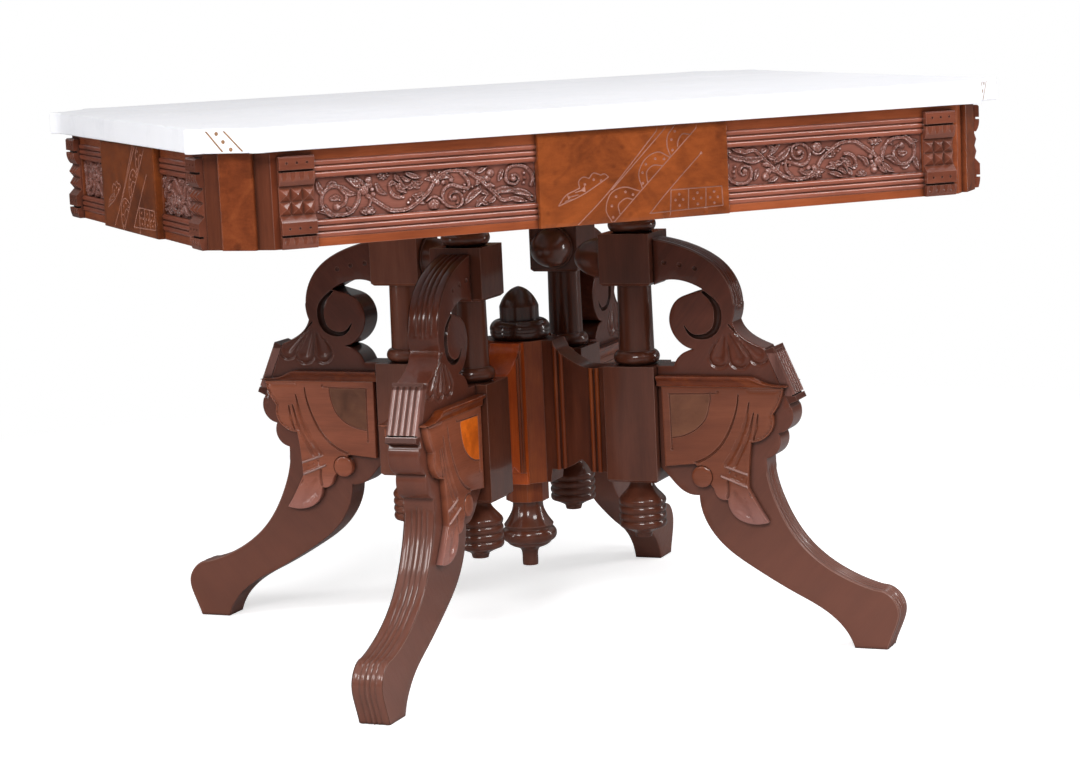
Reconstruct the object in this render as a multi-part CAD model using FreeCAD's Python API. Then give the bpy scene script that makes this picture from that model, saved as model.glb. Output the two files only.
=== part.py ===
import FreeCAD, Part
import math
import os

# Marble-topped walnut table on four scrolled legs. Millimetres, +Z up.
# X runs along the long side, the front faces -Y, and the origin is on the floor
# under the centre of the top.

Vec = FreeCAD.Vector

# ---- overall ---------------------------------------------------------------
table_height = 740.0
marble_length = 1089.0
marble_depth = 818.0
marble_thickness = 29.0
marble_edge_round = 3.0
marble_foot_round = 1.0
marble_overhang = 18.0
lobe_proud = 8.0
lobe_bulge = 6.0
lobe_sweep = 41.0
lobe_sweep_sag = 3.0
corner_flat_length = 58.0
corner_overhang = 17.0

# ---- apron -----------------------------------------------------------------
apron_height = 116.0
rail_thickness = 22.0
corner_cut = 62.5
glue_block_leg = 40.0
burl_panel_width = 46.0
burl_panel_thickness = 6.5
burl_panel_round = 3.0
tablet_proud = 9.0
tablet_round = 1.0
long_tablet_width = 256.0
short_tablet_width = 270.0
lower_band_height = 10.3
upper_band_height = 13.4
reed_pitch = 7.1
reed_count = 3
reed_rise = 2.6
reed_seat = 0.5
housing_depth = 6.0
carved_panel_thickness = 4.0
end_block_width = 43.5
long_side_block_inset = 8.0
short_side_block_inset = 1.0

# ---- end block, heights counted from the apron's lower edge ----------------
block_foot_height = 14.0
block_groove_height = 2.8
block_collar_height = 14.7
block_slope_height = 8.0
pyramid_height = 16.2
pyramid_rows = 2
pyramids_in_row = 3
block_undercut_height = 2.5
block_cove_height = 16.0
block_cap_height = 16.0
block_proud = 10.0
block_valley_depth = 2.2
block_groove_depth = 5.5
pyramid_rise = 7.2
flute_count = 4
flute_radius = 4.6
flute_depth = 1.5
foot_bow = 0.9
foot_bow_height = 0.45
cove_bow = 1.2
cove_bow_height = 0.4
stud_hole_radius = 1.5
stud_hole_depth = 1.2
stud_hole_spacing = 12.5

# ---- bearers under the apron -----------------------------------------------
bearer_width = 90.0
bearer_thickness = 24.0
cleat_depth = 22.0
cleat_height = 34.0
screw_head_radius = 5.5
screw_head_height = 3.0
screw_shank_radius = 2.4
screw_bite_length = 20.0
screw_clearance = 0.1

# ---- columns ---------------------------------------------------------------
column_circle_radius = 169.7
column_block_side = 72.0
lower_block_bottom = 217.0
lower_block_height = 158.0
upper_block_height = 70.0
column_neck_height = 41.0
block_edge_chamfer = 3.5
shaft_foot_radius = 24.3
shaft_top_radius = 23.0
foot_ring_radius = 31.2
foot_ring_height = 19.0
top_ring_radius = 32.5
top_ring_height = 20.0

# ---- pendants, finial and roundels -----------------------------------------
pendant_length = 80.0
pendant_ring_radius = 32.5
pendant_neck_radius = 16.5
pendant_tail_radius = 12.6
pendant_ring_pitch = 10.2
pendant_ring_count = 4
pendant_ring_depth = 2.2
spigot_radius = 8.0
spigot_length = 22.0
spigot_clearance = 0.15
roundel_radius = 29.0
roundel_rim = 4.0
roundel_step = 1.0
roundel_rise = 48.0
roundel_spigot_radius = 5.0
roundel_spigot_length = 14.0

post_block_width = 55.0
post_block_height = 29.0
post_bottom = 183.0
post_top = 408.0
post_face_width = 26.0
finial_height = 72.0
finial_disc_radius = 41.0
finial_disc_height = 27.0
finial_drum_radius = 27.0
finial_drum_height = 18.0
centre_pendant_length = 92.0
centre_ring_radius = 38.5
centre_neck_radius = 21.5
centre_tail_radius = 12.5

# ---- wings between the post and the columns --------------------------------
plank_thickness = 42.5
wing_bottom = 228.0
wing_cusp_height = 17.0
wing_bead_radius = 3.2
wing_bead_gap = 8.6
wing_bead_inset = 19.0
wing_bead_outset = 15.0

# ---- legs ------------------------------------------------------------------
foot_outer_radius = 515.0
arm_drop_height = 7.5
plaque_thickness = 11.0
plaque_reed_count = 5
plaque_reed_rise = 2.4
plaque_head_height = 5.0
plaque_bar_proud = 1.2
plaque_foot_height = 7.5
plaque_foot_gap = 2.0
plaque_groove_depth = 2.5
plaque_margin_length = 3.0

cheek_thickness = 9.0
cheek_moulding_proud = 14.0
cheek_moulding_height = 14.0
volute_radius = 15.0
volute_proud = 12.5

dowel_radius = 5.0
dowel_length = 50.0
post_dowel_length = 25.0
dowel_clearance = 0.1

# ---- levels and places worked out from the sizes above ---------------------
apron_top = table_height - marble_thickness
apron_bottom = apron_top - apron_height
half_length = marble_length / 2.0 - marble_overhang
half_depth = marble_depth / 2.0 - marble_overhang
root_two = math.sqrt(2.0)

lower_block_top = lower_block_bottom + lower_block_height
upper_block_top = apron_bottom - column_neck_height
upper_block_bottom = upper_block_top - upper_block_height
shaft_length = upper_block_bottom - lower_block_top
block_inner = column_circle_radius - column_block_side / 2.0
block_outer = column_circle_radius + column_block_side / 2.0
plank_half = plank_thickness / 2.0
post_half = plank_half * root_two + post_face_width / 2.0
post_diagonal = (post_half + post_face_width / 2.0) / root_two
post_neck_top = post_bottom + post_block_height

carved_height = apron_height - lower_band_height - upper_band_height - 2.0 * reed_count * reed_pitch

SIDES = {
    "front": (0.0, half_depth, half_length - corner_cut, long_tablet_width, long_side_block_inset),
    "right": (90.0, half_length, half_depth - corner_cut, short_tablet_width, short_side_block_inset),
    "back": (180.0, half_depth, half_length - corner_cut, long_tablet_width, long_side_block_inset),
    "left": (270.0, half_length, half_depth - corner_cut, short_tablet_width, short_side_block_inset),
}
CORNERS = {
    "front_right": -45.0,
    "back_right": 45.0,
    "back_left": 135.0,
    "front_left": 225.0,
}
AXIS_Z = Vec(0, 0, 1)
tiny = 1e-6


# ---- helpers ---------------------------------------------------------------
def turned(shape, degrees):
    """A copy of the shape turned about the table's upright axis."""
    copy = shape.copy()
    copy.rotate(Vec(0, 0, 0), AXIS_Z, degrees)
    return copy


def moved(shape, x=0.0, y=0.0, z=0.0):
    copy = shape.copy()
    copy.translate(Vec(x, y, z))
    return copy


def box(x0, x1, y0, y1, z0, z1):
    return Part.makeBox(x1 - x0, y1 - y0, z1 - z0, Vec(x0, y0, z0))


def rod(radius, start, end):
    direction = end - start
    return Part.makeCylinder(radius, direction.Length, start, direction)


def spline(points):
    curve = Part.BSplineCurve()
    curve.interpolate(points)
    return curve.toShape()


def arc(start, middle, end):
    return Part.Arc(start, middle, end).toShape()


def line(start, end):
    return Part.LineSegment(start, end).toShape()


def slab(edges, thickness_vector):
    """A solid from a closed loop of edges, pushed along a vector."""
    face = Part.Face(Part.Wire(edges))
    return face.extrude(thickness_vector)


def polygon_slab(points, thickness_vector):
    face = Part.Face(Part.makePolygon(points + [points[0]]))
    return face.extrude(thickness_vector)


def lathe(edges):
    """A turned solid from a closed outline in the XZ plane."""
    face = Part.Face(Part.Wire(edges))
    return face.revolve(Vec(0, 0, 0), AXIS_Z, 360)


def fuse(shapes):
    joined = shapes[0].multiFuse(shapes[1:])
    return joined.removeSplitter()


def save(name, solids):
    if len(solids) == 1:
        shape = solids[0]
    else:
        shape = Part.makeCompound(solids)
    shape.exportStep("parts/" + name + ".step")


# ---- marble top ------------------------------------------------------------
def marble_corner(sign_x, sign_y):
    """Edges round one corner: sweep, lobe, canted flat, lobe, sweep, from the
    long side to the short side, with the straight edges' end points."""
    half_x = marble_length / 2.0
    half_y = marble_depth / 2.0
    proud = burl_panel_thickness + corner_overhang
    cant = half_length + half_depth - corner_cut + root_two * proud
    tip_x = cant - half_y
    tip_y = cant - half_x
    middle_x = (tip_x + half_x) / 2.0
    middle_y = (tip_y + half_y) / 2.0
    along = corner_flat_length / 2.0 / root_two

    def at(x, y):
        return Vec(sign_x * x, sign_y * y, apron_top)

    def bowed(x0, y0, x1, y1, bow):
        """The middle of a chord, pushed outward by the bow."""
        length = math.hypot(x1 - x0, y1 - y0)
        across_x = abs(y1 - y0) / length
        across_y = abs(x1 - x0) / length
        return at((x0 + x1) / 2.0 + bow * across_x, (y0 + y1) / 2.0 + bow * across_y)

    long_start = (tip_x - lobe_sweep, half_y)
    long_tip = (tip_x, half_y + lobe_proud)
    long_notch = (middle_x - along, middle_y + along)
    short_notch = (middle_x + along, middle_y - along)
    short_tip = (half_x + lobe_proud, tip_y)
    short_start = (half_x, tip_y - lobe_sweep)
    edges = [
        arc(at(*long_start), bowed(*long_start, *long_tip, -lobe_sweep_sag), at(*long_tip)),
        arc(at(*long_tip), bowed(*long_tip, *long_notch, lobe_bulge), at(*long_notch)),
        line(at(*long_notch), at(*short_notch)),
        arc(at(*short_notch), bowed(*short_notch, *short_tip, lobe_bulge), at(*short_tip)),
        arc(at(*short_tip), bowed(*short_tip, *short_start, -lobe_sweep_sag), at(*short_start)),
    ]
    return edges, at(*long_start), at(*short_start)


def marble_top():
    corners = {}
    for sign_x in (1, -1):
        for sign_y in (1, -1):
            corners[(sign_x, sign_y)] = marble_corner(sign_x, sign_y)
    edges = []
    for corner_edges, long_end, short_end in corners.values():
        edges.extend(corner_edges)
    for sign in (1, -1):
        edges.append(line(corners[(1, sign)][1], corners[(-1, sign)][1]))
        edges.append(line(corners[(sign, 1)][2], corners[(sign, -1)][2]))
    outline = Part.Wire(Part.__sortEdges__(edges))
    solid = Part.Face(outline).extrude(Vec(0, 0, marble_thickness))
    top_edges = [edge for edge in solid.Edges if abs(edge.BoundBox.ZMin - table_height) < tiny]
    solid = solid.makeFillet(marble_edge_round, top_edges)
    foot_edges = [edge for edge in solid.Edges if abs(edge.BoundBox.ZMax - apron_top) < tiny]
    return solid.makeChamfer(marble_foot_round, foot_edges)


# ---- apron, drawn for a side that faces -Y ---------------------------------
def rail(face, half, tablet_half, block_edge):
    board = box(-half, half, -face, -face + rail_thickness, apron_bottom, apron_top)
    block_inner_edge = block_edge - end_block_width
    foot = apron_bottom + lower_band_height
    head = apron_top - upper_band_height
    for sign in (1, -1):
        low, high = sorted((sign * tablet_half, sign * block_inner_edge))
        board = board.cut(box(low, high, -face, -face + housing_depth, foot, head))
    return board


def reed_strip(low, high, face, bottom):
    """A strip of half-round reeds that fills its part of the housing."""
    back = -face + housing_depth
    seat = -face + reed_seat
    top = bottom + reed_count * reed_pitch
    edges = [line(Vec(low, seat, top), Vec(low, back, top)),
             line(Vec(low, back, top), Vec(low, back, bottom)),
             line(Vec(low, back, bottom), Vec(low, seat, bottom))]
    for index in range(reed_count):
        foot = bottom + index * reed_pitch
        crest = Vec(low, seat - reed_rise, foot + reed_pitch / 2.0)
        edges.append(arc(Vec(low, seat, foot), crest, Vec(low, seat, foot + reed_pitch)))
    return slab(edges, Vec(high - low, 0, 0))


def housing_spans(tablet_half, block_edge):
    block_inner_edge = block_edge - end_block_width
    return [(tablet_half, block_inner_edge), (-block_inner_edge, -tablet_half)]


def reed_mouldings(face, tablet_half, block_edge):
    strips = []
    lower = apron_bottom + lower_band_height
    upper = apron_top - upper_band_height - reed_count * reed_pitch
    for low, high in housing_spans(tablet_half, block_edge):
        strips.append(reed_strip(low, high, face, lower))
        strips.append(reed_strip(low, high, face, upper))
    return strips


def carved_panels(face, tablet_half, block_edge):
    bottom = apron_bottom + lower_band_height + reed_count * reed_pitch
    back = -face + housing_depth
    front = back - carved_panel_thickness
    panels = []
    for low, high in housing_spans(tablet_half, block_edge):
        panels.append(box(low, high, front, back, bottom, bottom + carved_height))
    return panels


def tablet(face, tablet_half):
    front = -face - tablet_proud
    solid = box(-tablet_half, tablet_half, front, -face, apron_bottom, apron_top)
    front_edges = [edge for edge in solid.Edges if abs(edge.BoundBox.YMax - front) < tiny]
    return solid.makeFillet(tablet_round, front_edges)


def pyramid(centre_x, back_y, bottom, width, height, rise):
    """A low four-sided point on a flat base, facing -Y."""
    base = [Vec(centre_x - width / 2.0, back_y, bottom),
            Vec(centre_x + width / 2.0, back_y, bottom),
            Vec(centre_x + width / 2.0, back_y, bottom + height),
            Vec(centre_x - width / 2.0, back_y, bottom + height)]
    point = Vec(centre_x, back_y - rise, bottom + height / 2.0)
    faces = [Part.Face(Part.makePolygon(base + [base[0]]))]
    for index in range(4):
        corner = base[index]
        following = base[(index + 1) % 4]
        faces.append(Part.Face(Part.makePolygon([corner, following, point, corner])))
    return Part.Solid(Part.Shell(faces))


def end_block(face, centre_x):
    """Stepped block: fluted foot, studded collar, two rows of points, fluted cove, studded cap."""
    collar_bottom = apron_bottom + block_foot_height + block_groove_height
    collar_top = collar_bottom + block_collar_height
    slope_top = collar_top + block_slope_height
    rows_top = slope_top + pyramid_rows * pyramid_height
    cove_bottom = rows_top + block_undercut_height
    cove_top = cove_bottom + block_cove_height
    cap_bottom = cove_top + block_groove_height
    cap_top = cap_bottom + block_cap_height
    left = centre_x - end_block_width / 2.0

    def at(proud, height):
        return Vec(left, -face - proud, height)

    foot_back = 0.7 * block_proud
    foot_bow_level = apron_bottom + foot_bow_height * block_foot_height
    cove_bow_level = cove_bottom + cove_bow_height * block_cove_height
    groove = block_proud - block_groove_depth
    cove_back = block_proud / 2.0
    bevel = block_cap_height / 8.0
    foot_top = apron_bottom + block_foot_height
    edges = [
        line(at(0, apron_bottom), at(foot_back, apron_bottom)),
        arc(at(foot_back, apron_bottom), at(block_proud - foot_bow, foot_bow_level),
            at(block_proud, foot_top)),
        line(at(block_proud, foot_top), at(groove, foot_top)),
        line(at(groove, foot_top), at(groove, collar_bottom)),
        line(at(groove, collar_bottom), at(block_proud, collar_bottom)),
        line(at(block_proud, collar_bottom), at(block_proud, collar_top)),
        line(at(block_proud, collar_top), at(block_valley_depth, slope_top)),
        line(at(block_valley_depth, slope_top), at(block_valley_depth, cove_bottom)),
        line(at(block_valley_depth, cove_bottom), at(cove_back, cove_bottom)),
        arc(at(cove_back, cove_bottom), at(block_proud - cove_bow, cove_bow_level),
            at(block_proud, cove_top)),
        line(at(block_proud, cove_top), at(groove, cove_top)),
        line(at(groove, cove_top), at(groove, cap_bottom)),
        line(at(groove, cap_bottom), at(block_proud, cap_bottom)),
        line(at(block_proud, cap_bottom), at(block_proud, cap_top - bevel)),
        line(at(block_proud, cap_top - bevel), at(block_proud - bevel, cap_top)),
        line(at(block_proud - bevel, cap_top), at(0, cap_top)),
        line(at(0, cap_top), at(0, apron_bottom)),
    ]
    solid = slab(edges, Vec(end_block_width, 0, 0))
    tools = []
    flute_pitch = end_block_width / flute_count
    flute_y = -face - block_proud - flute_radius + flute_depth
    for index in range(flute_count):
        x = left + (index + 0.5) * flute_pitch
        tools.append(rod(flute_radius, Vec(x, flute_y, apron_bottom), Vec(x, flute_y, foot_top)))
        tools.append(rod(flute_radius, Vec(x, flute_y, cove_bottom), Vec(x, flute_y, cove_top)))
    front = -face - block_proud
    for height in (collar_bottom + block_collar_height / 2.0, cap_bottom + block_cap_height / 2.0):
        for index in (-1, 0, 1):
            x = centre_x + index * stud_hole_spacing
            hole_floor = Vec(x, front + stud_hole_depth, height)
            tools.append(rod(stud_hole_radius, Vec(x, front - stud_hole_depth, height), hole_floor))
    solid = solid.cut(Part.makeCompound(tools))
    points = [solid]
    point_width = end_block_width / pyramids_in_row
    valley = -face - block_valley_depth
    for row in range(pyramid_rows):
        for index in range(pyramids_in_row):
            x = left + (index + 0.5) * point_width
            bottom = slope_top + row * pyramid_height
            points.append(pyramid(x, valley, bottom, point_width, pyramid_height, pyramid_rise))
    return fuse(points)


def apron_side(name):
    angle, face, half, tablet_width, block_inset = SIDES[name]
    tablet_half = tablet_width / 2.0
    block_edge = half - block_inset
    block_centre = block_edge - end_block_width / 2.0
    reeds = reed_mouldings(face, tablet_half, block_edge)
    panels = carved_panels(face, tablet_half, block_edge)
    blocks = [end_block(face, sign * block_centre) for sign in (1, -1)]
    save(name + "_rail", [turned(rail(face, half, tablet_half, block_edge), angle)])
    save(name + "_reed_mouldings", [turned(reed, angle) for reed in reeds])
    save(name + "_carved_panels", [turned(panel, angle) for panel in panels])
    save(name + "_tablet", [turned(tablet(face, tablet_half), angle)])
    save(name + "_end_blocks", [turned(block, angle) for block in blocks])


def mirrored(points, sign_x, sign_y):
    return [Vec(sign_x * x, sign_y * y, apron_bottom) for x, y in points]


def corner_pieces():
    """Canted corner boards between the rails, with the glue blocks behind them
    and the burl panels on their faces."""
    long_end = half_length - corner_cut
    short_end = half_depth - corner_cut
    inner_x = half_length - rail_thickness
    inner_y = half_depth - rail_thickness
    board = [(long_end, half_depth), (half_length, short_end), (inner_x, short_end), (long_end, inner_y)]
    glue = [(long_end, inner_y), (inner_x, short_end), (inner_x, short_end - glue_block_leg),
            (long_end - glue_block_leg, inner_y)]
    middle_x = (long_end + half_length) / 2.0
    middle_y = (half_depth + short_end) / 2.0
    along = burl_panel_width / 2.0 / root_two
    out = burl_panel_thickness / root_two
    panel = [(middle_x - along, middle_y + along),
             (middle_x + along, middle_y - along),
             (middle_x + along + out, middle_y - along + out),
             (middle_x - along + out, middle_y + along + out)]
    up = Vec(0, 0, apron_height)
    glue_blocks = []
    burl_panels = []
    for name in CORNERS:
        sign_x = 1 if "right" in name else -1
        sign_y = 1 if "back" in name else -1
        save("corner_board_" + name, [polygon_slab(mirrored(board, sign_x, sign_y), up)])
        glue_blocks.append(polygon_slab(mirrored(glue, sign_x, sign_y), up))
        solid = polygon_slab(mirrored(panel, sign_x, sign_y), up)
        outer_face = middle_x + middle_y + 2.0 * out
        rounded = []
        for edge in solid.Edges:
            centre = edge.CenterOfMass
            upright = edge.BoundBox.ZLength > apron_height / 2.0
            if upright and abs(centre.x) + abs(centre.y) > outer_face - out:
                rounded.append(edge)
        burl_panels.append(solid.makeFillet(burl_panel_round, rounded))
    save("corner_glue_blocks", glue_blocks)
    save("corner_burl_panels", burl_panels)


# ---- bearers that tie the apron to the columns -----------------------------
def screw(head_top):
    """A countersunk wood screw with its axis upright and its head at the top."""
    head_foot = Vec(0, 0, -screw_head_height)
    shank = rod(screw_shank_radius, Vec(0, 0, -bearer_thickness - screw_bite_length), head_foot)
    head = Part.makeCone(screw_shank_radius, screw_head_radius, screw_head_height, head_foot)
    return moved(shank.fuse(head).removeSplitter(), 0, 0, head_top)


def screw_hole(head_top):
    length = bearer_thickness + screw_bite_length + screw_clearance
    radius = screw_shank_radius + screw_clearance
    shank = rod(radius, Vec(0, 0, -length), Vec(0, 0, 0))
    head_foot = Vec(0, 0, -screw_head_height)
    head = Part.makeCone(radius, screw_head_radius + screw_clearance, screw_head_height, head_foot)
    return moved(shank.fuse(head), 0, 0, head_top)


def bearers():
    offset = column_circle_radius / root_two
    inner_y = half_depth - rail_thickness
    bearer_top = apron_bottom + bearer_thickness
    screws = []
    cleats = []
    for name, sign_x in (("left", -1), ("right", 1)):
        x = sign_x * offset
        left = x - bearer_width / 2.0
        right = x + bearer_width / 2.0
        bearer = box(left, right, -inner_y, inner_y, apron_bottom, bearer_top)
        for sign_y in (-1, 1):
            y = sign_y * offset
            bearer = bearer.cut(moved(screw_hole(bearer_top), x, y))
            screws.append(moved(screw(bearer_top), x, y))
            low, high = sorted((sign_y * inner_y, sign_y * (inner_y - cleat_depth)))
            cleats.append(box(left, right, low, high, bearer_top, bearer_top + cleat_height))
        save("cross_bearer_" + name, [bearer])
    save("bearer_cleats", cleats)
    save("bearer_screws", screws)


# ---- columns, drawn with the leg's direction along +X ----------------------
def ring(radius, inner, height, bottom):
    """A solid turned ring with a half-round rim."""
    top = bottom + height
    edges = [
        line(Vec(0, 0, bottom), Vec(inner, 0, bottom)),
        arc(Vec(inner, 0, bottom), Vec(radius, 0, bottom + height / 2.0), Vec(inner, 0, top)),
        line(Vec(inner, 0, top), Vec(0, 0, top)),
        line(Vec(0, 0, top), Vec(0, 0, bottom)),
    ]
    return lathe(edges)


def dowel_places():
    """Start and end of each dowel on the radial line: block to leg, block to wing, wing to post."""
    leg_heights = (lower_block_bottom + 0.3 * lower_block_height,
                   lower_block_bottom + 0.8 * lower_block_height,
                   upper_block_bottom + 0.5 * upper_block_height)
    wing_heights = (wing_bottom + 0.25 * (lower_block_top - wing_bottom),
                    wing_bottom + 0.7 * (lower_block_top - wing_bottom))

    def across(reach, heights, half):
        return [(Vec(reach - half, 0, z), Vec(reach + half, 0, z)) for z in heights]

    legs = across(block_outer, leg_heights, dowel_length / 2.0)
    wings = across(block_inner, wing_heights, dowel_length / 2.0)
    post = across(post_diagonal, wing_heights, post_dowel_length / 2.0)
    return legs, wings, post


def dowel_holes():
    holes = []
    for group in dowel_places():
        for start, end in group:
            longer = Vec(dowel_clearance, 0, 0)
            holes.append(rod(dowel_radius + dowel_clearance, start - longer, end + longer))
    return Part.makeCompound(holes)


def column():
    side = column_block_side / 2.0
    centre = column_circle_radius
    lower = box(centre - side, centre + side, -side, side, lower_block_bottom, lower_block_top)
    upper = box(centre - side, centre + side, -side, side, upper_block_bottom, upper_block_top)
    blocks = []
    for solid, foot in ((lower, lower_block_bottom), (upper, upper_block_bottom)):
        edges = [edge for edge in solid.Edges if abs(edge.BoundBox.ZMax - foot) < tiny]
        blocks.append(solid.makeChamfer(block_edge_chamfer, edges))
    shaft = Part.makeCone(shaft_foot_radius, shaft_top_radius, shaft_length, Vec(centre, 0, lower_block_top))
    foot_ring = moved(ring(foot_ring_radius, shaft_foot_radius, foot_ring_height, lower_block_top), centre)
    top_ring = moved(ring(top_ring_radius, shaft_top_radius, top_ring_height, upper_block_top), centre)
    stub = rod(shaft_top_radius, Vec(centre, 0, upper_block_top), Vec(centre, 0, apron_bottom))
    solid = fuse(blocks + [shaft, foot_ring, top_ring, stub])
    spigot = rod(spigot_radius + spigot_clearance, Vec(centre, 0, lower_block_bottom),
                 Vec(centre, 0, lower_block_bottom + spigot_length + spigot_clearance))
    bolt = moved(screw_hole(apron_bottom + bearer_thickness), centre)
    middle = upper_block_bottom + upper_block_height / 2.0
    boss = rod(roundel_spigot_radius + spigot_clearance, Vec(block_inner, 0, middle),
               Vec(block_inner + roundel_spigot_length + spigot_clearance, 0, middle))
    return solid.cut(Part.makeCompound([spigot, bolt, boss])).cut(dowel_holes())


def pendant():
    """Turned drop: neck, bell, four rings, cup and tail, with its spigot."""
    top = lower_block_bottom
    bottom = top - pendant_length
    rings_bottom = bottom + 0.18 * pendant_length
    rings_top = rings_bottom + pendant_ring_count * pendant_ring_pitch
    tail_top = rings_bottom - 0.1 * pendant_length
    tail_low = 0.86 * pendant_tail_radius
    valley = pendant_ring_radius - pendant_ring_depth
    edges = [
        line(Vec(0, 0, top + spigot_length), Vec(spigot_radius, 0, top + spigot_length)),
        line(Vec(spigot_radius, 0, top + spigot_length), Vec(spigot_radius, 0, top)),
        line(Vec(spigot_radius, 0, top), Vec(pendant_neck_radius, 0, top)),
        spline([Vec(pendant_neck_radius, 0, top),
                Vec(1.03 * pendant_neck_radius, 0, top - 0.1 * pendant_length),
                Vec(0.835 * valley, 0, rings_top + 0.07 * pendant_length),
                Vec(valley, 0, rings_top)]),
    ]
    for index in range(pendant_ring_count):
        high = rings_top - index * pendant_ring_pitch
        low = high - pendant_ring_pitch
        crest = Vec(pendant_ring_radius, 0, (high + low) / 2.0)
        edges.append(arc(Vec(valley, 0, high), crest, Vec(valley, 0, low)))
    edges.append(spline([Vec(valley, 0, rings_bottom),
                         Vec(0.62 * valley, 0, rings_bottom - 0.06 * pendant_length),
                         Vec(pendant_tail_radius, 0, tail_top)]))
    edges.append(line(Vec(pendant_tail_radius, 0, tail_top), Vec(tail_low, 0, bottom)))
    edges.append(line(Vec(tail_low, 0, bottom), Vec(0, 0, bottom)))
    edges.append(line(Vec(0, 0, bottom), Vec(0, 0, top + spigot_length)))
    return moved(lathe(edges), column_circle_radius)


def roundel():
    """Turned half egg on a low rim, planted on the inner face of the upper block."""
    middle = upper_block_bottom + upper_block_height / 2.0
    egg_radius = roundel_radius - roundel_step
    tip = Vec(0, 0, roundel_rise)
    brim = Vec(egg_radius, 0, roundel_rim)
    egg = Part.Ellipse(tip, brim, Vec(0, 0, roundel_rim))
    edges = [
        line(Vec(0, 0, -roundel_spigot_length), Vec(roundel_spigot_radius, 0, -roundel_spigot_length)),
        line(Vec(roundel_spigot_radius, 0, -roundel_spigot_length), Vec(roundel_spigot_radius, 0, 0)),
        line(Vec(roundel_spigot_radius, 0, 0), Vec(roundel_radius, 0, 0)),
        arc(Vec(roundel_radius, 0, 0), Vec(roundel_radius + roundel_rim / 3.0, 0, roundel_rim / 2.0),
            Vec(roundel_radius, 0, roundel_rim)),
        line(Vec(roundel_radius, 0, roundel_rim), brim),
        Part.ArcOfEllipse(egg, 0, math.pi / 2.0).toShape(),
        line(tip, Vec(0, 0, -roundel_spigot_length)),
    ]
    solid = lathe(edges)
    solid.rotate(Vec(0, 0, 0), Vec(0, 1, 0), -90)
    return moved(solid, block_inner, 0, middle)


# ---- centre post, finial and pendant ---------------------------------------
def centre_post():
    half = post_half
    flat = post_face_width / 2.0
    outline = [(flat, half), (half, flat), (half, -flat), (flat, -half),
               (-flat, -half), (-half, -flat), (-half, flat), (-flat, half)]
    body = polygon_slab([Vec(x, y, post_neck_top) for x, y in outline], Vec(0, 0, post_top - post_neck_top))
    reach = post_block_width / 2.0 / math.cos(math.pi / 8.0)
    octagon = []
    for index in range(8):
        angle = math.pi / 8.0 + index * math.pi / 4.0
        octagon.append(Vec(reach * math.cos(angle), reach * math.sin(angle), post_bottom))
    foot = polygon_slab(octagon, Vec(0, 0, post_block_height))
    spigot_up = rod(spigot_radius + spigot_clearance, Vec(0, 0, post_top - spigot_length - spigot_clearance),
                    Vec(0, 0, post_top))
    spigot_down = rod(spigot_radius + spigot_clearance, Vec(0, 0, post_bottom),
                      Vec(0, 0, post_bottom + spigot_length + spigot_clearance))
    post = fuse([body, foot]).cut(Part.makeCompound([spigot_up, spigot_down]))
    for angle in CORNERS.values():
        post = post.cut(turned(dowel_holes(), angle))
    return post


def finial():
    """Turned disc, drum and pointed dome on the post, with its spigot."""
    disc_top = post_top + finial_disc_height
    drum_top = disc_top + finial_drum_height
    tip = post_top + finial_height
    foot = 0.83 * finial_disc_radius
    widest = post_top + 0.45 * finial_disc_height
    edges = [
        line(Vec(0, 0, post_top - spigot_length), Vec(spigot_radius, 0, post_top - spigot_length)),
        line(Vec(spigot_radius, 0, post_top - spigot_length), Vec(spigot_radius, 0, post_top)),
        line(Vec(spigot_radius, 0, post_top), Vec(foot, 0, post_top)),
        arc(Vec(foot, 0, post_top),
            Vec(0.963 * finial_disc_radius, 0, post_top + 0.16 * finial_disc_height),
            Vec(finial_disc_radius, 0, widest)),
        spline([Vec(finial_disc_radius, 0, widest),
                Vec(0.976 * finial_disc_radius, 0, post_top + 0.75 * finial_disc_height),
                Vec(0.854 * finial_disc_radius, 0, post_top + 0.944 * finial_disc_height),
                Vec(finial_drum_radius, 0, disc_top)]),
        line(Vec(finial_drum_radius, 0, disc_top), Vec(finial_drum_radius, 0, drum_top)),
        spline([Vec(finial_drum_radius, 0, drum_top),
                Vec(0.8 * finial_drum_radius, 0, drum_top + 0.42 * (tip - drum_top)),
                Vec(0.38 * finial_drum_radius, 0, drum_top + 0.85 * (tip - drum_top)),
                Vec(0, 0, tip)]),
        line(Vec(0, 0, tip), Vec(0, 0, post_top - spigot_length)),
    ]
    return lathe(edges)


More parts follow.
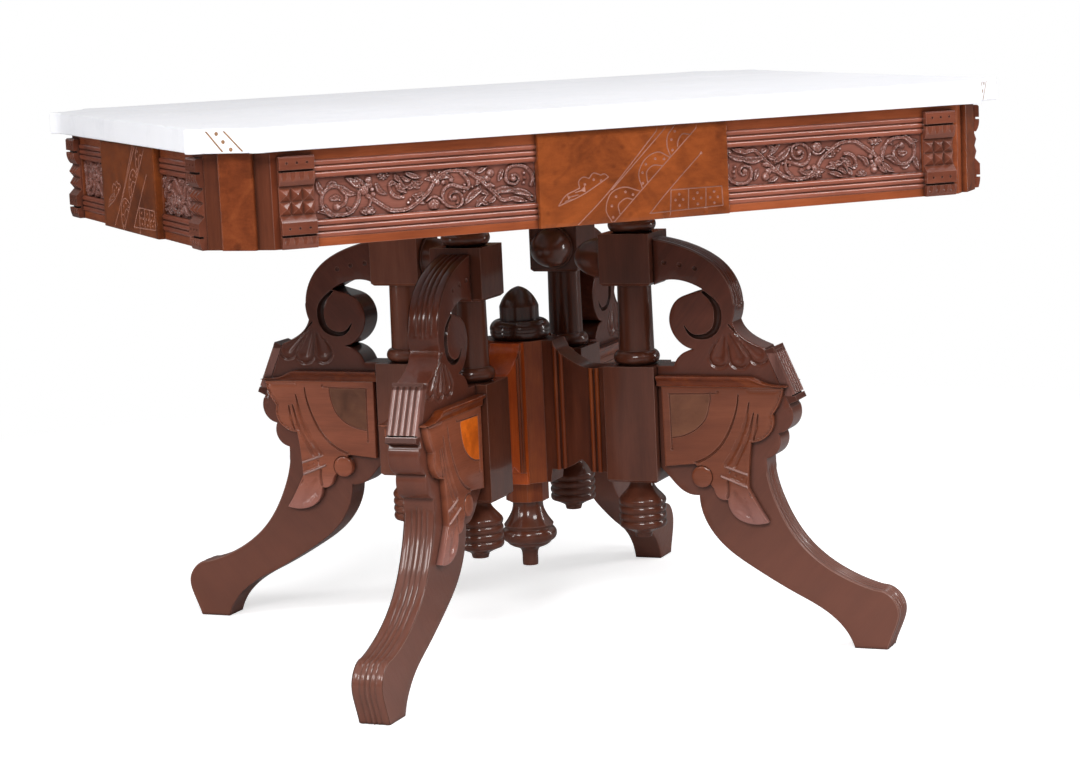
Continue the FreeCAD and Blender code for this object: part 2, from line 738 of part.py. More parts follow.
def centre_pendant():
    """Turned neck, bell, broad ring, cup and tapered tail under the post."""
    top = post_bottom
    length = centre_pendant_length
    bell = 0.896 * centre_ring_radius
    ring_head = 0.957 * bell
    ring_foot = 0.913 * bell
    bell_low = top - 0.37 * length
    ring_top = top - 0.42 * length
    ring_low = top - 0.63 * length
    cup_low = top - 0.74 * length
    bottom = top - length
    tail_low = 0.84 * centre_tail_radius
    edges = [
        line(Vec(0, 0, top + spigot_length), Vec(spigot_radius, 0, top + spigot_length)),
        line(Vec(spigot_radius, 0, top + spigot_length), Vec(spigot_radius, 0, top)),
        line(Vec(spigot_radius, 0, top), Vec(centre_neck_radius, 0, top)),
        spline([Vec(centre_neck_radius, 0, top),
                Vec(1.023 * centre_neck_radius, 0, top - 0.13 * length),
                Vec(0.5 * (centre_neck_radius + bell), 0, top - 0.27 * length),
                Vec(bell, 0, bell_low)]),
        line(Vec(bell, 0, bell_low), Vec(ring_head, 0, ring_top)),
        arc(Vec(ring_head, 0, ring_top), Vec(centre_ring_radius, 0, (ring_top + ring_low) / 2.0),
            Vec(ring_foot, 0, ring_low)),
        spline([Vec(ring_foot, 0, ring_low),
                Vec(0.62 * bell, 0, cup_low + 0.03 * length),
                Vec(1.16 * centre_tail_radius, 0, cup_low),
                Vec(1.038 * tail_low, 0, bottom + 0.04 * length),
                Vec(tail_low, 0, bottom)]),
        line(Vec(tail_low, 0, bottom), Vec(0, 0, bottom)),
        line(Vec(0, 0, bottom), Vec(0, 0, top + spigot_length)),
    ]
    return lathe(edges)


# ---- wings -----------------------------------------------------------------
def wing_outline(y):
    """Swagged top edge, ogee-arched bottom edge, from the post to the column block."""
    span = block_inner - post_diagonal
    fall = post_top - lower_block_top

    def at(share, height):
        return Vec(post_diagonal + share * span, y, height)

    def low(share, rise):
        return at(share, wing_bottom + rise * wing_cusp_height)

    return [
        line(at(0, post_neck_top), at(0, post_top)),
        line(at(0, post_top), at(0.17, post_top)),
        spline([at(0.17, post_top), at(0.24, post_top - 0.38 * fall), at(0.42, post_top - 0.78 * fall),
                at(0.64, post_top - 1.08 * fall), at(0.82, post_top - 1.12 * fall), at(1, lower_block_top)]),
        line(at(1, lower_block_top), at(1, wing_bottom)),
        line(at(1, wing_bottom), at(0.69, wing_bottom)),
        arc(at(0.69, wing_bottom), low(0.63, 0.59), low(0.55, 1)),
        arc(low(0.55, 1), low(0.38, 0.41), low(0.2, 0.12)),
        line(low(0.2, 0.12), low(0.09, 0.12)),
        line(low(0.09, 0.12), at(0.06, post_neck_top)),
        line(at(0.06, post_neck_top), at(0, post_neck_top)),
    ]


def wing():
    solid = slab(wing_outline(-plank_half), Vec(0, plank_thickness, 0))
    return solid.cut(dowel_holes())


def wing_beads():
    """Upright half-round beads in pairs on both faces of one wing."""
    reach = plank_half + wing_bead_radius
    whole = slab(wing_outline(-reach), Vec(0, 2.0 * reach, 0))
    core = box(post_diagonal, block_inner, -plank_half, plank_half, 0, table_height)
    inner = post_diagonal + wing_bead_inset
    outer = block_inner - wing_bead_outset
    beads = []
    for start in (inner, outer - wing_bead_gap):
        for index in range(2):
            x = start + index * wing_bead_gap
            for y in (-plank_half, plank_half):
                stick = rod(wing_bead_radius, Vec(x, y, post_bottom), Vec(x, y, post_top))
                beads.append(stick.common(whole).cut(core))
    return beads


# ---- legs ------------------------------------------------------------------
leg_reach = foot_outer_radius - block_outer
scroll_rise = upper_block_top - lower_block_top


def low_at(reach, rise, y=0.0):
    """A place on the foot and knee: shares of the leg's reach and of the knee's height."""
    return Vec(block_outer + reach * leg_reach, y, rise * lower_block_top)


def high_at(reach, rise, y=0.0):
    """A place on the scroll: shares of the leg's reach and of the scroll's height."""
    return Vec(block_outer + reach * leg_reach, y, lower_block_top + rise * scroll_rise)


def leg():
    y = -plank_half
    knee_top = high_at(0.489, 0.14, y)
    knee_bottom = low_at(0.593, 0.869, y)
    neck = high_at(0.348, 0.332, y)
    cusp = high_at(0.222, 0.574, y)
    curl_foot = high_at(0.17, 0.126, y)
    ledge = Vec(block_outer + 0.076 * leg_reach, y, lower_block_top)
    arm_top = Vec(block_outer, y, upper_block_top - arm_drop_height)
    arm_foot = Vec(block_outer, y, upper_block_bottom)
    lobe_join = low_at(0.541, 0.763, y)
    shin_top = low_at(0.484, 0.672, y)
    toe_top = low_at(0.952, 0.216, y)
    toe_foot = low_at(1, 0, y)
    heel_foot = low_at(0.852, 0, y)
    belly_cusp = low_at(0.173, 0.533, y)
    belly_top = Vec(block_outer, y, lower_block_bottom + 0.12 * lower_block_height)
    edges = [
        spline([arm_top, high_at(0.185, 0.866, y), high_at(0.309, 0.71, y), high_at(0.361, 0.492, y), neck]),
        spline([neck, high_at(0.377, 0.248, y), high_at(0.437, 0.178, y), knee_top]),
        line(knee_top, knee_bottom),
        arc(knee_bottom, low_at(0.606, 0.813, y), lobe_join),
        arc(lobe_join, low_at(0.544, 0.715, y), shin_top),
        spline([shin_top, low_at(0.489, 0.613, y), low_at(0.525, 0.513, y), low_at(0.636, 0.363, y),
                low_at(0.795, 0.265, y), toe_top]),
        spline([toe_top, low_at(1.015, 0.196, y), low_at(1.052, 0.143, y), low_at(1.037, 0.078, y), toe_foot]),
        line(toe_foot, heel_foot),
        spline([heel_foot, low_at(0.818, 0.058, y), low_at(0.742, 0.121, y), low_at(0.589, 0.192, y),
                low_at(0.412, 0.275, y), low_at(0.275, 0.356, y), low_at(0.198, 0.443, y), belly_cusp]),
        spline([belly_cusp, low_at(0.085, 0.557, y), low_at(0.036, 0.6, y), belly_top]),
        line(belly_top, Vec(block_outer, y, lower_block_top)),
        line(Vec(block_outer, y, lower_block_top), ledge),
        spline([ledge, high_at(0.105, 0.078, y), curl_foot]),
        spline([curl_foot, high_at(0.098, 0.196, y), high_at(0.063, 0.352, y), high_at(0.105, 0.503, y),
                high_at(0.162, 0.545, y), cusp]),
        spline([cusp, high_at(0.137, 0.637, y), high_at(0.053, 0.645, y), arm_foot]),
        line(arm_foot, arm_top),
    ]
    solid = slab(edges, Vec(0, plank_thickness, 0))
    return solid.cut(dowel_holes())


def knee_plaque():
    """Reeded plaque on the knee with a small moulding at its head and foot."""
    top = high_at(0.489, 0.14)
    bottom = low_at(0.593, 0.869)
    down = bottom - top
    length = down.Length
    down.normalize()
    out = Vec(-down.z, 0, down.x)

    def at(along, proud, y):
        return top + down * along + out * proud + Vec(0, y, 0)

    reed_start = plaque_margin_length + plaque_head_height
    reed_end = length - plaque_foot_height - plaque_foot_gap
    width = plank_thickness / plaque_reed_count
    edges = [line(at(reed_start, plaque_thickness, plank_half), at(reed_start, 0, plank_half)),
             line(at(reed_start, 0, plank_half), at(reed_start, 0, -plank_half)),
             line(at(reed_start, 0, -plank_half), at(reed_start, plaque_thickness, -plank_half))]
    for index in range(plaque_reed_count):
        low = -plank_half + index * width
        edges.append(arc(at(reed_start, plaque_thickness, low),
                         at(reed_start, plaque_thickness + plaque_reed_rise, low + width / 2.0),
                         at(reed_start, plaque_thickness, low + width)))
    reeds = slab(edges, down * (reed_end - reed_start))

    def bar(start, height, proud):
        corners = [at(start, 0, -plank_half), at(start, proud, -plank_half),
                   at(start, proud, plank_half), at(start, 0, plank_half)]
        return polygon_slab(corners, down * height)

    head = bar(plaque_margin_length, plaque_head_height, plaque_thickness + plaque_bar_proud)
    backing = bar(reed_end, plaque_foot_gap, plaque_thickness - plaque_groove_depth)
    foot = bar(length - plaque_foot_height, plaque_foot_height, plaque_thickness + plaque_bar_proud)
    return fuse([reeds, head, backing, foot])


def cheek():
    """Carved cheek on the +Y face of a leg: fan, volute, leaf and a moulded head."""
    y = plank_half
    head_line = low_at(0.025, 0.93, y)
    right_top = low_at(0.575, 0.93, y)
    lobe_one = low_at(0.524, 0.834, y)
    lobe_two = low_at(0.425, 0.733, y)
    strap = low_at(0.407, 0.568, y)
    leaf_tip = low_at(0.492, 0.446, y)
    leaf_root = low_at(0.312, 0.523, y)
    small_end = low_at(0.25, 0.563, y)
    volute_centre = low_at(0.198, 0.605, y)
    fan_foot = low_at(0.168, 0.651, y)
    corner_foot = low_at(0.03, 0.64, y)
    edges = [
        line(head_line, right_top),
        spline([right_top, low_at(0.56, 0.883, y), lobe_one]),
        spline([lobe_one, low_at(0.515, 0.773, y), low_at(0.467, 0.74, y), lobe_two]),
        spline([lobe_two, low_at(0.414, 0.667, y), strap]),
        spline([strap, low_at(0.436, 0.522, y), leaf_tip]),
        spline([leaf_tip, low_at(0.424, 0.438, y), low_at(0.351, 0.459, y), leaf_root]),
        spline([leaf_root, low_at(0.279, 0.526, y), small_end]),
        line(small_end, fan_foot),
        line(fan_foot, corner_foot),
        line(corner_foot, head_line),
    ]
    body = slab(edges, Vec(0, cheek_thickness, 0))
    volute = rod(volute_radius, volute_centre, volute_centre + Vec(0, volute_proud, 0))
    up = Vec(0, 0, cheek_moulding_height)
    head_low = low_at(0.005, 0.93, y)
    turn_high = low_at(0.423, 0.93, y) + up
    tip = low_at(0.59, 0.93, y)
    tip_high = tip + up * 0.15
    fall = tip_high - turn_high
    ogee_middle = turn_high + fall * 0.5 - up * 0.04
    moulding_edges = [
        line(head_low, head_low + up),
        line(head_low + up, turn_high),
        arc(turn_high, turn_high + fall * 0.34 + up * 0.02, ogee_middle),
        arc(ogee_middle, turn_high + fall * 0.75 - up * 0.13, tip_high),
        line(tip_high, tip),
        line(tip, head_low),
    ]
    moulding = slab(moulding_edges, Vec(0, cheek_moulding_proud, 0))
    return fuse([body, volute, moulding])


def leg_group(name, angle):
    save("leg_" + name, [turned(leg(), angle)])
    one = cheek()
    other = one.mirror(Vec(0, 0, 0), Vec(0, 1, 0))
    save("cheeks_" + name, [turned(one, angle), turned(other, angle)])
    save("wing_" + name, [turned(wing(), angle)])
    save("column_" + name, [turned(column(), angle)])
    save("pendant_" + name, [turned(pendant(), angle)])


def dowels():
    legs, wings, post = dowel_places()
    leg_set = []
    wing_set = []
    for angle in CORNERS.values():
        leg_set.extend(turned(rod(dowel_radius, start, end), angle) for start, end in legs)
        wing_set.extend(turned(rod(dowel_radius, start, end), angle) for start, end in wings + post)
    save("leg_dowels", leg_set)
    save("wing_dowels", wing_set)


def main():
    os.makedirs("parts", exist_ok=True)
    save("marble_top", [marble_top()])
    for name in SIDES:
        apron_side(name)
    corner_pieces()
    bearers()
    for name, angle in CORNERS.items():
        leg_group(name, angle)
    save("knee_plaques", [turned(knee_plaque(), angle) for angle in CORNERS.values()])
    save("roundels", [turned(roundel(), angle) for angle in CORNERS.values()])
    beads = []
    for angle in CORNERS.values():
        beads.extend(turned(bead, angle) for bead in wing_beads())
    save("wing_beads", beads)
    dowels()
    save("centre_post", [centre_post()])
    save("centre_finial", [finial()])
    save("centre_pendant", [centre_pendant()])


main()
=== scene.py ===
import math

import bmesh
import bpy
import numpy as np
from mathutils import Matrix, Vector
from mathutils.geometry import delaunay_2d_cdt
from mathutils.kdtree import KDTree


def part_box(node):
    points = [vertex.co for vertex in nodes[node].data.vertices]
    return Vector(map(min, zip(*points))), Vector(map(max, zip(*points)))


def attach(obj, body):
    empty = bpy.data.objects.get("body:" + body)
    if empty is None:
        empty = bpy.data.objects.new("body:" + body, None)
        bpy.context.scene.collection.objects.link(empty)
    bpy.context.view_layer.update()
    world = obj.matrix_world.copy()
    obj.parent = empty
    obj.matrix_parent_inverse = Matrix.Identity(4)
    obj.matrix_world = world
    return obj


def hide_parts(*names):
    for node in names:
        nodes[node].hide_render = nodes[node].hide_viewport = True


# A marble-topped walnut table: the frame's pieces keep their places, and the
# carved and incised pieces are cut here. Lengths in the carving are millimetres
# and are brought to metres where a mesh is made.

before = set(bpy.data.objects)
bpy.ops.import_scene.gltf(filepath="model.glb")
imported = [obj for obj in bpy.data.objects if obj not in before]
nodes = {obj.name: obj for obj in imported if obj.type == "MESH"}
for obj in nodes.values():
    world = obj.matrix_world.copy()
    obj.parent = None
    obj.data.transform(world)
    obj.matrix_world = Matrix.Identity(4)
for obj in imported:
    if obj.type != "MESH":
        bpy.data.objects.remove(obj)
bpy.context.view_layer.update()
scene = bpy.context.scene
scene.view_settings.view_transform = "Standard"

MM = 0.001
# the way each leg points and how far each side is turned from the front, in degrees
CORNERS = {"front_right": -45.0, "back_right": 45.0, "back_left": 135.0, "front_left": 225.0}
SIDES = {"front": 0.0, "right": 90.0, "back": 180.0, "left": 270.0}


# ---- finishes: nodes and shared shader groups ---------------------------------
def tint(red, green, blue):
    """A paint-chart colour, 0 to 255, as linear light."""
    channels = []
    for value in (red, green, blue):
        share = value / 255.0
        channels.append(share / 12.92 if share <= 0.04045 else ((share + 0.055) / 1.055) ** 2.4)
    return (*channels, 1.0)


class Bench:
    """Places and joins shader nodes in one tree."""

    # the sockets of a Mix node that hold its share, its two colours and what comes out
    SHARE, FIRST, SECOND, MIXED = 0, 6, 7, 2

    def __init__(self, tree):
        self.tree = tree

    def node(self, kind, inputs=None, **settings):
        made = self.tree.nodes.new(kind)
        for key, value in settings.items():
            setattr(made, key, value)
        for key, value in (inputs or {}).items():
            self.feed(made.inputs[key], value)
        return made

    def feed(self, socket, value):
        if isinstance(value, bpy.types.NodeSocket):
            self.tree.links.new(value, socket)
        else:
            socket.default_value = value

    def own_place(self):
        """Where a point lies on its own object's axes."""
        return self.node("ShaderNodeTexCoord").outputs["Object"]

    def axis_of(self, vector, axis):
        return self.node("ShaderNodeSeparateXYZ", {0: vector}).outputs[axis]

    def math(self, operation, first, second=None):
        inputs = {0: first}
        if second is not None:
            inputs[1] = second
        return self.node("ShaderNodeMath", inputs, operation=operation).outputs[0]

    def times(self, first, second):
        return self.math("MULTIPLY", first, second)

    def plus(self, first, second):
        return self.math("ADD", first, second)

    def minus(self, first, second):
        return self.math("SUBTRACT", first, second)

    def larger(self, first, second):
        return self.math("MAXIMUM", first, second)

    def mix(self, share, first, second, blend="MIX"):
        made = self.node("ShaderNodeMix", data_type="RGBA", blend_type=blend)
        self.feed(made.inputs[self.SHARE], share)
        self.feed(made.inputs[self.FIRST], first)
        self.feed(made.inputs[self.SECOND], second)
        return made.outputs[self.MIXED]

    def noise(self, place, scale, detail, roughness=0.5, distortion=0.0):
        inputs = {"Vector": place, "Scale": scale, "Detail": detail, "Roughness": roughness,
                  "Distortion": distortion}
        return self.node("ShaderNodeTexNoise", inputs).outputs[0]

    def stretch(self, place, scale):
        return self.node("ShaderNodeMapping", {"Vector": place, "Scale": scale}).outputs[0]

    def span(self, value, low, high, to_low=0.0, to_high=1.0):
        """What lies between two levels, brought between two others."""
        inputs = {0: value, 1: low, 2: high, 3: to_low, 4: to_high}
        return self.node("ShaderNodeMapRange", inputs).outputs[0]

    def fade(self, value, low, high, most=1.0):
        """The most under the low level, and nothing over the high one."""
        return self.span(value, low, high, most, 0.0)

    def swayed(self, value, *parts):
        """The value moved by others, each by how far it is from a half and by its own weight."""
        for part, weight in parts:
            value = self.plus(value, self.times(self.minus(part, 0.5), weight))
        return value

    def three_colours(self, share, dark, middle, light):
        """Dark at 0, the middle colour at a half and light at 1."""
        low = self.mix(self.span(share, 0.0, 0.5), dark, middle)
        return self.mix(self.span(share, 0.5, 1.0), low, light)


def shader_group(name, inputs, outputs):
    """An empty group with named sockets: (name, kind, start value)."""
    tree = bpy.data.node_groups.new(name, "ShaderNodeTree")
    for label, kind, start in inputs:
        socket = tree.interface.new_socket(label, in_out="INPUT", socket_type="NodeSocket" + kind)
        if start is not None:
            socket.default_value = start
    for label, kind in outputs:
        tree.interface.new_socket(label, in_out="OUTPUT", socket_type="NodeSocket" + kind)
    bench = Bench(tree)
    entry = bench.node("NodeGroupInput").outputs
    leave = bench.node("NodeGroupOutput").inputs
    return tree, bench, entry, leave


# sockets that the groups share: the two figures, and the two polishes, which paint shade into hollows and
# highlights onto crests
WOOD_INPUTS = [("Place", "Vector", None), ("Dark", "Color", (0.05, 0.02, 0.01, 1)),
               ("Middle", "Color", (0.1, 0.05, 0.03, 1)), ("Light", "Color", (0.2, 0.1, 0.06, 1))]
WOOD_OUTPUTS = [("Color", "Color"), ("Height", "Float"), ("Roughness", "Float")]
POLISH_OUTPUTS = [("Color", "Color"), ("Hollow", "Float"), ("Normal", "Vector")]
# how far a figure has to sway for its dark and its light colour
GRAIN_REACH, BURL_REACH = 0.24, 0.2
PORE_DARKNESS = 0.18
HOLLOW_ROUGHNESS = 0.2
NEAR_SAMPLES = 6
# added on the crests: partly rubbed wear, partly a painted highlight
CREST_HIGHLIGHT_AND_WEAR = (0.28, 0.19, 0.16, 1)


def straight_grain_group():
    """Plain-sawn walnut: broad bands, fine streaks and open pores along X."""
    tree, bench, entry, leave = shader_group(
        "straight_grain", WOOD_INPUTS + [("Bands", "Float", 0.5)], WOOD_OUTPUTS)
    place = entry["Place"]
    broad = bench.noise(bench.stretch(place, (1.6, 16.0, 16.0)), scale=3.2, detail=5.0, roughness=0.55,
                        distortion=0.5)
    streaks = bench.noise(bench.stretch(place, (3.0, 90.0, 90.0)), scale=5.0, detail=3.0, roughness=0.6)
    pores = bench.noise(bench.stretch(place, (26.0, 520.0, 520.0)), scale=2.2, detail=2.0)
    patches = bench.noise(bench.stretch(place, (1.0, 2.0, 2.0)), scale=7.0, detail=3.0, roughness=0.55,
                          distortion=0.6)
    bands = bench.times(bench.minus(broad, 0.5), entry["Bands"])
    bands = bench.swayed(bands, (streaks, 0.14), (patches, 0.5))
    share = bench.span(bands, -GRAIN_REACH, GRAIN_REACH)
    colour = bench.three_colours(share, entry["Dark"], entry["Middle"], entry["Light"])
    open_pores = bench.fade(pores, 0.36, 0.46)
    colour = bench.mix(bench.times(open_pores, PORE_DARKNESS), colour, entry["Dark"])
    bench.feed(leave["Color"], colour)
    bench.feed(leave["Height"], bench.minus(bench.times(streaks, 0.3), open_pores))
    bench.feed(leave["Roughness"], bench.plus(bench.times(streaks, 0.12), bench.times(open_pores, 0.12)))
    return tree


def burl_group():
    """Mottled burl veneer: clouds, swirls, specks and small dark eyes."""
    tree, bench, entry, leave = shader_group(
        "burl_figure", WOOD_INPUTS + [("Cloud", "Float", 0.5)], WOOD_OUTPUTS)
    place = entry["Place"]
    clouds = bench.noise(bench.stretch(place, (0.8, 0.8, 1.1)), scale=14.0, detail=5.0, roughness=0.55,
                         distortion=1.6)
    swirls = bench.noise(bench.stretch(place, (0.5, 0.5, 1.6)), scale=60.0, detail=5.0, roughness=0.6,
                         distortion=2.4)
    specks = bench.noise(place, scale=420.0, detail=2.0, roughness=0.6)
    eyes = bench.node("ShaderNodeTexVoronoi", {"Vector": place, "Scale": 46.0}).outputs["Distance"]
    smudges = bench.noise(place, scale=17.0, detail=3.0, roughness=0.6, distortion=0.8)
    share = bench.times(bench.minus(clouds, 0.5), entry["Cloud"])
    share = bench.span(bench.swayed(share, (swirls, 0.14), (specks, 0.08)), -BURL_REACH, BURL_REACH)
    colour = bench.three_colours(share, entry["Dark"], entry["Middle"], entry["Light"])
    dark_eyes = bench.fade(eyes, 0.03, 0.2, most=0.4)
    dark_smudges = bench.span(smudges, 0.55, 0.75, to_high=0.85)
    colour = bench.mix(bench.larger(dark_eyes, dark_smudges), colour, entry["Dark"])
    bench.feed(leave["Color"], colour)
    bench.feed(leave["Height"], swirls)
    bench.feed(leave["Roughness"], bench.times(swirls, 0.15))
    return tree


def waxed(bench, entry, hollows):
    """The wood's colour, darker in its hollows: partly dark wax, partly painted shade."""
    return bench.mix(bench.times(hollows, entry["Wax And Shade Amount"]), entry["Color"], entry["Wax And Shade"])


def openness(bench, reach):
    """How open the surface is to the air within this reach."""
    return bench.node("ShaderNodeAmbientOcclusion", {"Distance": reach}, samples=NEAR_SAMPLES).outputs["AO"]


def settled_wax_group():
    """Old polish: darker in the hollows, partly dark wax and partly painted shade, and a paler line on the
    crests, partly rubbed wear and partly a painted highlight.
    """
    tree, bench, entry, leave = shader_group(
        "settled_wax",
        [("Color", "Color", (0.1, 0.05, 0.03, 1)), ("Wax And Shade", "Color", (0.015, 0.008, 0.006, 1)),
         ("Hollow Reach", "Float", 0.006), ("Wax And Shade Amount", "Float", 0.7),
         ("Crest Reach", "Float", 0.0015), ("Crest Amount", "Float", 0.35)], POLISH_OUTPUTS)
    # painted shade: darker where the surface is closed in, along with dark wax in the hollows
    hollows = bench.fade(openness(bench, entry["Hollow Reach"]), 0.35, 0.95)
    soft = bench.node("ShaderNodeBevel", {"Radius": entry["Crest Reach"]}, samples=NEAR_SAMPLES).outputs[0]
    plain = bench.node("ShaderNodeNewGeometry").outputs["Normal"]
    turned = bench.node("ShaderNodeVectorMath", {0: soft, 1: plain}, operation="DOT_PRODUCT").outputs["Value"]
    # painted highlight on the crests, partly rubbed wear
    crests = bench.times(bench.fade(turned, 0.86, 0.995), bench.minus(1.0, hollows))
    colour = waxed(bench, entry, hollows)
    crest_highlight_colour = bench.mix(1.0, colour, CREST_HIGHLIGHT_AND_WEAR, "ADD")
    colour = bench.mix(bench.times(crests, entry["Crest Amount"]), colour, crest_highlight_colour)
    bench.feed(leave["Color"], colour)
    bench.feed(leave["Hollow"], hollows)
    bench.feed(leave["Normal"], soft)
    return tree


def carved_wax_group():
    """Close carving: darker by the walls and in the cuts, partly dark wax and partly painted shade, and pale
    rims, a painted highlight.
    """
    tree, bench, entry, leave = shader_group(
        "carved_wax",
        [("Color", "Color", (0.1, 0.05, 0.03, 1)), ("Wax And Shade", "Color", (0.02, 0.009, 0.006, 1)),
         ("Rim", "Color", tint(228, 200, 198)), ("Hollow Reach", "Float", 0.003),
         ("Wax And Shade Amount", "Float", 0.8), ("Crest Amount", "Float", 0.6)], POLISH_OUTPUTS)
    surface = bench.node("ShaderNodeNewGeometry").outputs
    # painted shade by the walls and in the cuts, along with dark wax
    walls = bench.fade(openness(bench, entry["Hollow Reach"]), 0.4, 0.9)
    cuts = bench.fade(surface["Pointiness"], 0.43, 0.495)
    hollows = bench.larger(walls, cuts)
    # painted highlight: pale rims, broken up by noise and strongest where the surface faces up
    rims = bench.span(surface["Pointiness"], 0.51, 0.57)
    rim_highlight_breakup = bench.noise(bench.own_place(), scale=160.0, detail=3.0, roughness=0.6)
    facing_up = bench.span(bench.axis_of(surface["Normal"], "Z"), -0.35, 0.35, to_low=0.35)
    rim_highlight_share = bench.times(bench.span(rim_highlight_breakup, 0.38, 0.6), facing_up)
    rim_highlights = bench.times(bench.times(rims, rim_highlight_share), entry["Crest Amount"])
    bench.feed(leave["Color"], bench.mix(rim_highlights, waxed(bench, entry, hollows), entry["Rim"]))
    bench.feed(leave["Hollow"], hollows)
    bench.feed(leave["Normal"], surface["Normal"])
    return tree


straight_grain = straight_grain_group()
burl_figure = burl_group()
settled_wax = settled_wax_group()
carved_wax = carved_wax_group()


# ---- materials ----------------------------------------------------------------
def fresh_material(name):
    """A new material with no nodes yet, and the bench that places them."""
    material = bpy.data.materials.new(name)
    material.use_nodes = True
    material.node_tree.nodes.clear()
    return material, Bench(material.node_tree)


def finish_with(bench, surface):
    """Makes this shader the material's surface."""
    bench.node("ShaderNodeOutputMaterial", {"Surface": surface.outputs[0]})


def grain_turn(angle, tilt=0.0):
    """Turns the place so that its X runs along a board at this angle and tilt."""
    matrix = Matrix.Rotation(math.radians(tilt), 3, "Y") @ Matrix.Rotation(-math.radians(angle), 3, "Z")
    return matrix.to_euler("XYZ")


def polished_wood(name, figure, colours, turn=(0.0, 0.0, 0.0), figure_strength=0.5, roughness=0.26,
                  coat=0.6, wax=0.7, crest=(0.0015, 0.4), hollow=0.006, dark_from=None, worn_low=None,
                  close_carved=False, dull_beyond=None):
    """A finished wood: figure, then darker hollows (dark wax and painted shade) and pale crests (rubbed wear
    and a painted highlight), under a thin polish.

    crest holds how wide the pale crests are, in metres, and how much they show; they are partly rubbed wear,
    partly a painted highlight.
    dark_from is how far left along the board its end of painted shade begins, in metres.
    The setting for lower parts holds a painted-light colour, how much of it shows, and the levels between
    which it fades upwards.
    dull_beyond holds the levels under and over which the polish is gone.
    """
    material, bench = fresh_material(name)
    own_place = bench.own_place()
    place = bench.node("ShaderNodeMapping", {"Vector": own_place, "Rotation": turn}).outputs[0]
    strength_name = "Bands" if figure is straight_grain else "Cloud"
    grain = bench.node("ShaderNodeGroup", node_tree=figure)
    for key, value in (("Place", place), ("Dark", colours[0]), ("Middle", colours[1]),
                       ("Light", colours[2]), (strength_name, figure_strength)):
        bench.feed(grain.inputs[key], value)
    colour = grain.outputs["Color"]
    if dark_from:
        # painted shade at the board's left end
        dark_end = bench.fade(bench.axis_of(place, "X"), -dark_from - MM, -dark_from)
        colour = bench.mix(dark_end, colour, colours[0])
    # painted light: lighter towards the bottom
    if worn_low:
        painted_light_colour, amount, low, high = worn_low
        worn = bench.fade(bench.axis_of(own_place, "Z"), low, high, most=amount)
        colour = bench.mix(worn, colour, painted_light_colour)
    if dull_beyond:
        low, high = dull_beyond
        level = bench.axis_of(own_place, "Z")
        dull = bench.larger(bench.fade(level, low - MM, low), bench.span(level, high, high + MM))
        colour = bench.mix(dull, colour, colours[0])
        coat = bench.times(bench.minus(1.0, dull), coat)
    polish = bench.node("ShaderNodeGroup", node_tree=carved_wax if close_carved else settled_wax)
    for key, value in (("Color", colour), ("Wax And Shade Amount", wax), ("Hollow Reach", hollow),
                       ("Crest Reach", crest[0]), ("Crest Amount", crest[1])):
        if key in polish.inputs:
            bench.feed(polish.inputs[key], value)
    rough = bench.plus(grain.outputs["Roughness"], roughness)
    rough = bench.plus(rough, bench.times(polish.outputs["Hollow"], HOLLOW_ROUGHNESS))
    relief = bench.node("ShaderNodeBump", {"Height": grain.outputs["Height"], "Strength": 0.04,
                                           "Distance": 0.0004, "Normal": polish.outputs["Normal"]})
    finish_with(bench, bench.node(
        "ShaderNodeBsdfPrincipled",
        {"Base Color": polish.outputs["Color"], "Roughness": rough, "Normal": relief.outputs[0],
         "Coat Weight": coat, "Coat Roughness": 0.1, "Specular IOR Level": 0.1, "IOR": 1.5}))
    return material


def white_marble():
    """White marble with faint grey clouds and thin veins along the slab."""
    material, bench = fresh_material("white_marble")
    place = bench.own_place()
    bent = bench.node("ShaderNodeTexNoise", {"Vector": place, "Scale": 2.6, "Detail": 5.0, "Roughness": 0.6})
    shifted = bench.node("ShaderNodeVectorMath", {0: place, 1: bent.outputs["Color"]}, operation="ADD")
    long_way = bench.stretch(shifted.outputs[0], (1.0, 2.2, 1.4))
    vein = bench.noise(long_way, scale=2.4, detail=6.0, roughness=0.62, distortion=0.4)
    cloud = bench.noise(place, scale=5.0, detail=5.0, roughness=0.6)
    off_ridge = bench.math("ABSOLUTE", bench.minus(vein, 0.5))
    veins = bench.times(bench.fade(off_ridge, 0.0, 0.055), bench.span(cloud, 0.42, 0.66))
    base = bench.mix(bench.span(cloud, 0.35, 0.7), tint(243, 243, 247), tint(237, 237, 241))
    colour = bench.mix(bench.times(veins, 0.2), base, tint(204, 206, 212))
    relief = bench.node("ShaderNodeBevel", {"Radius": 0.0015}, samples=NEAR_SAMPLES)
    finish_with(bench, bench.node(
        "ShaderNodeBsdfPrincipled",
        {"Base Color": colour, "Roughness": bench.span(cloud, 0.3, 0.7, 0.3, 0.42),
         "Normal": relief.outputs[0], "Subsurface Weight": 0.08,
         "Subsurface Radius": (0.01, 0.009, 0.008), "IOR": 1.5, "Specular IOR Level": 0.12}))
    return material


def screw_steel():
    """Bright steel with brown stains."""
    material, bench = fresh_material("screw_steel")
    stain = bench.noise(bench.own_place(), scale=300.0, detail=3.0, roughness=0.6)
    colour = bench.mix(bench.span(stain, 0.4, 0.65), tint(150, 148, 144), tint(110, 92, 78))
    finish_with(bench, bench.node(
        "ShaderNodeBsdfPrincipled",
        {"Base Color": colour, "Roughness": bench.span(stain, 0.3, 0.7, 0.3, 0.6), "Metallic": 1.0}))
    return material


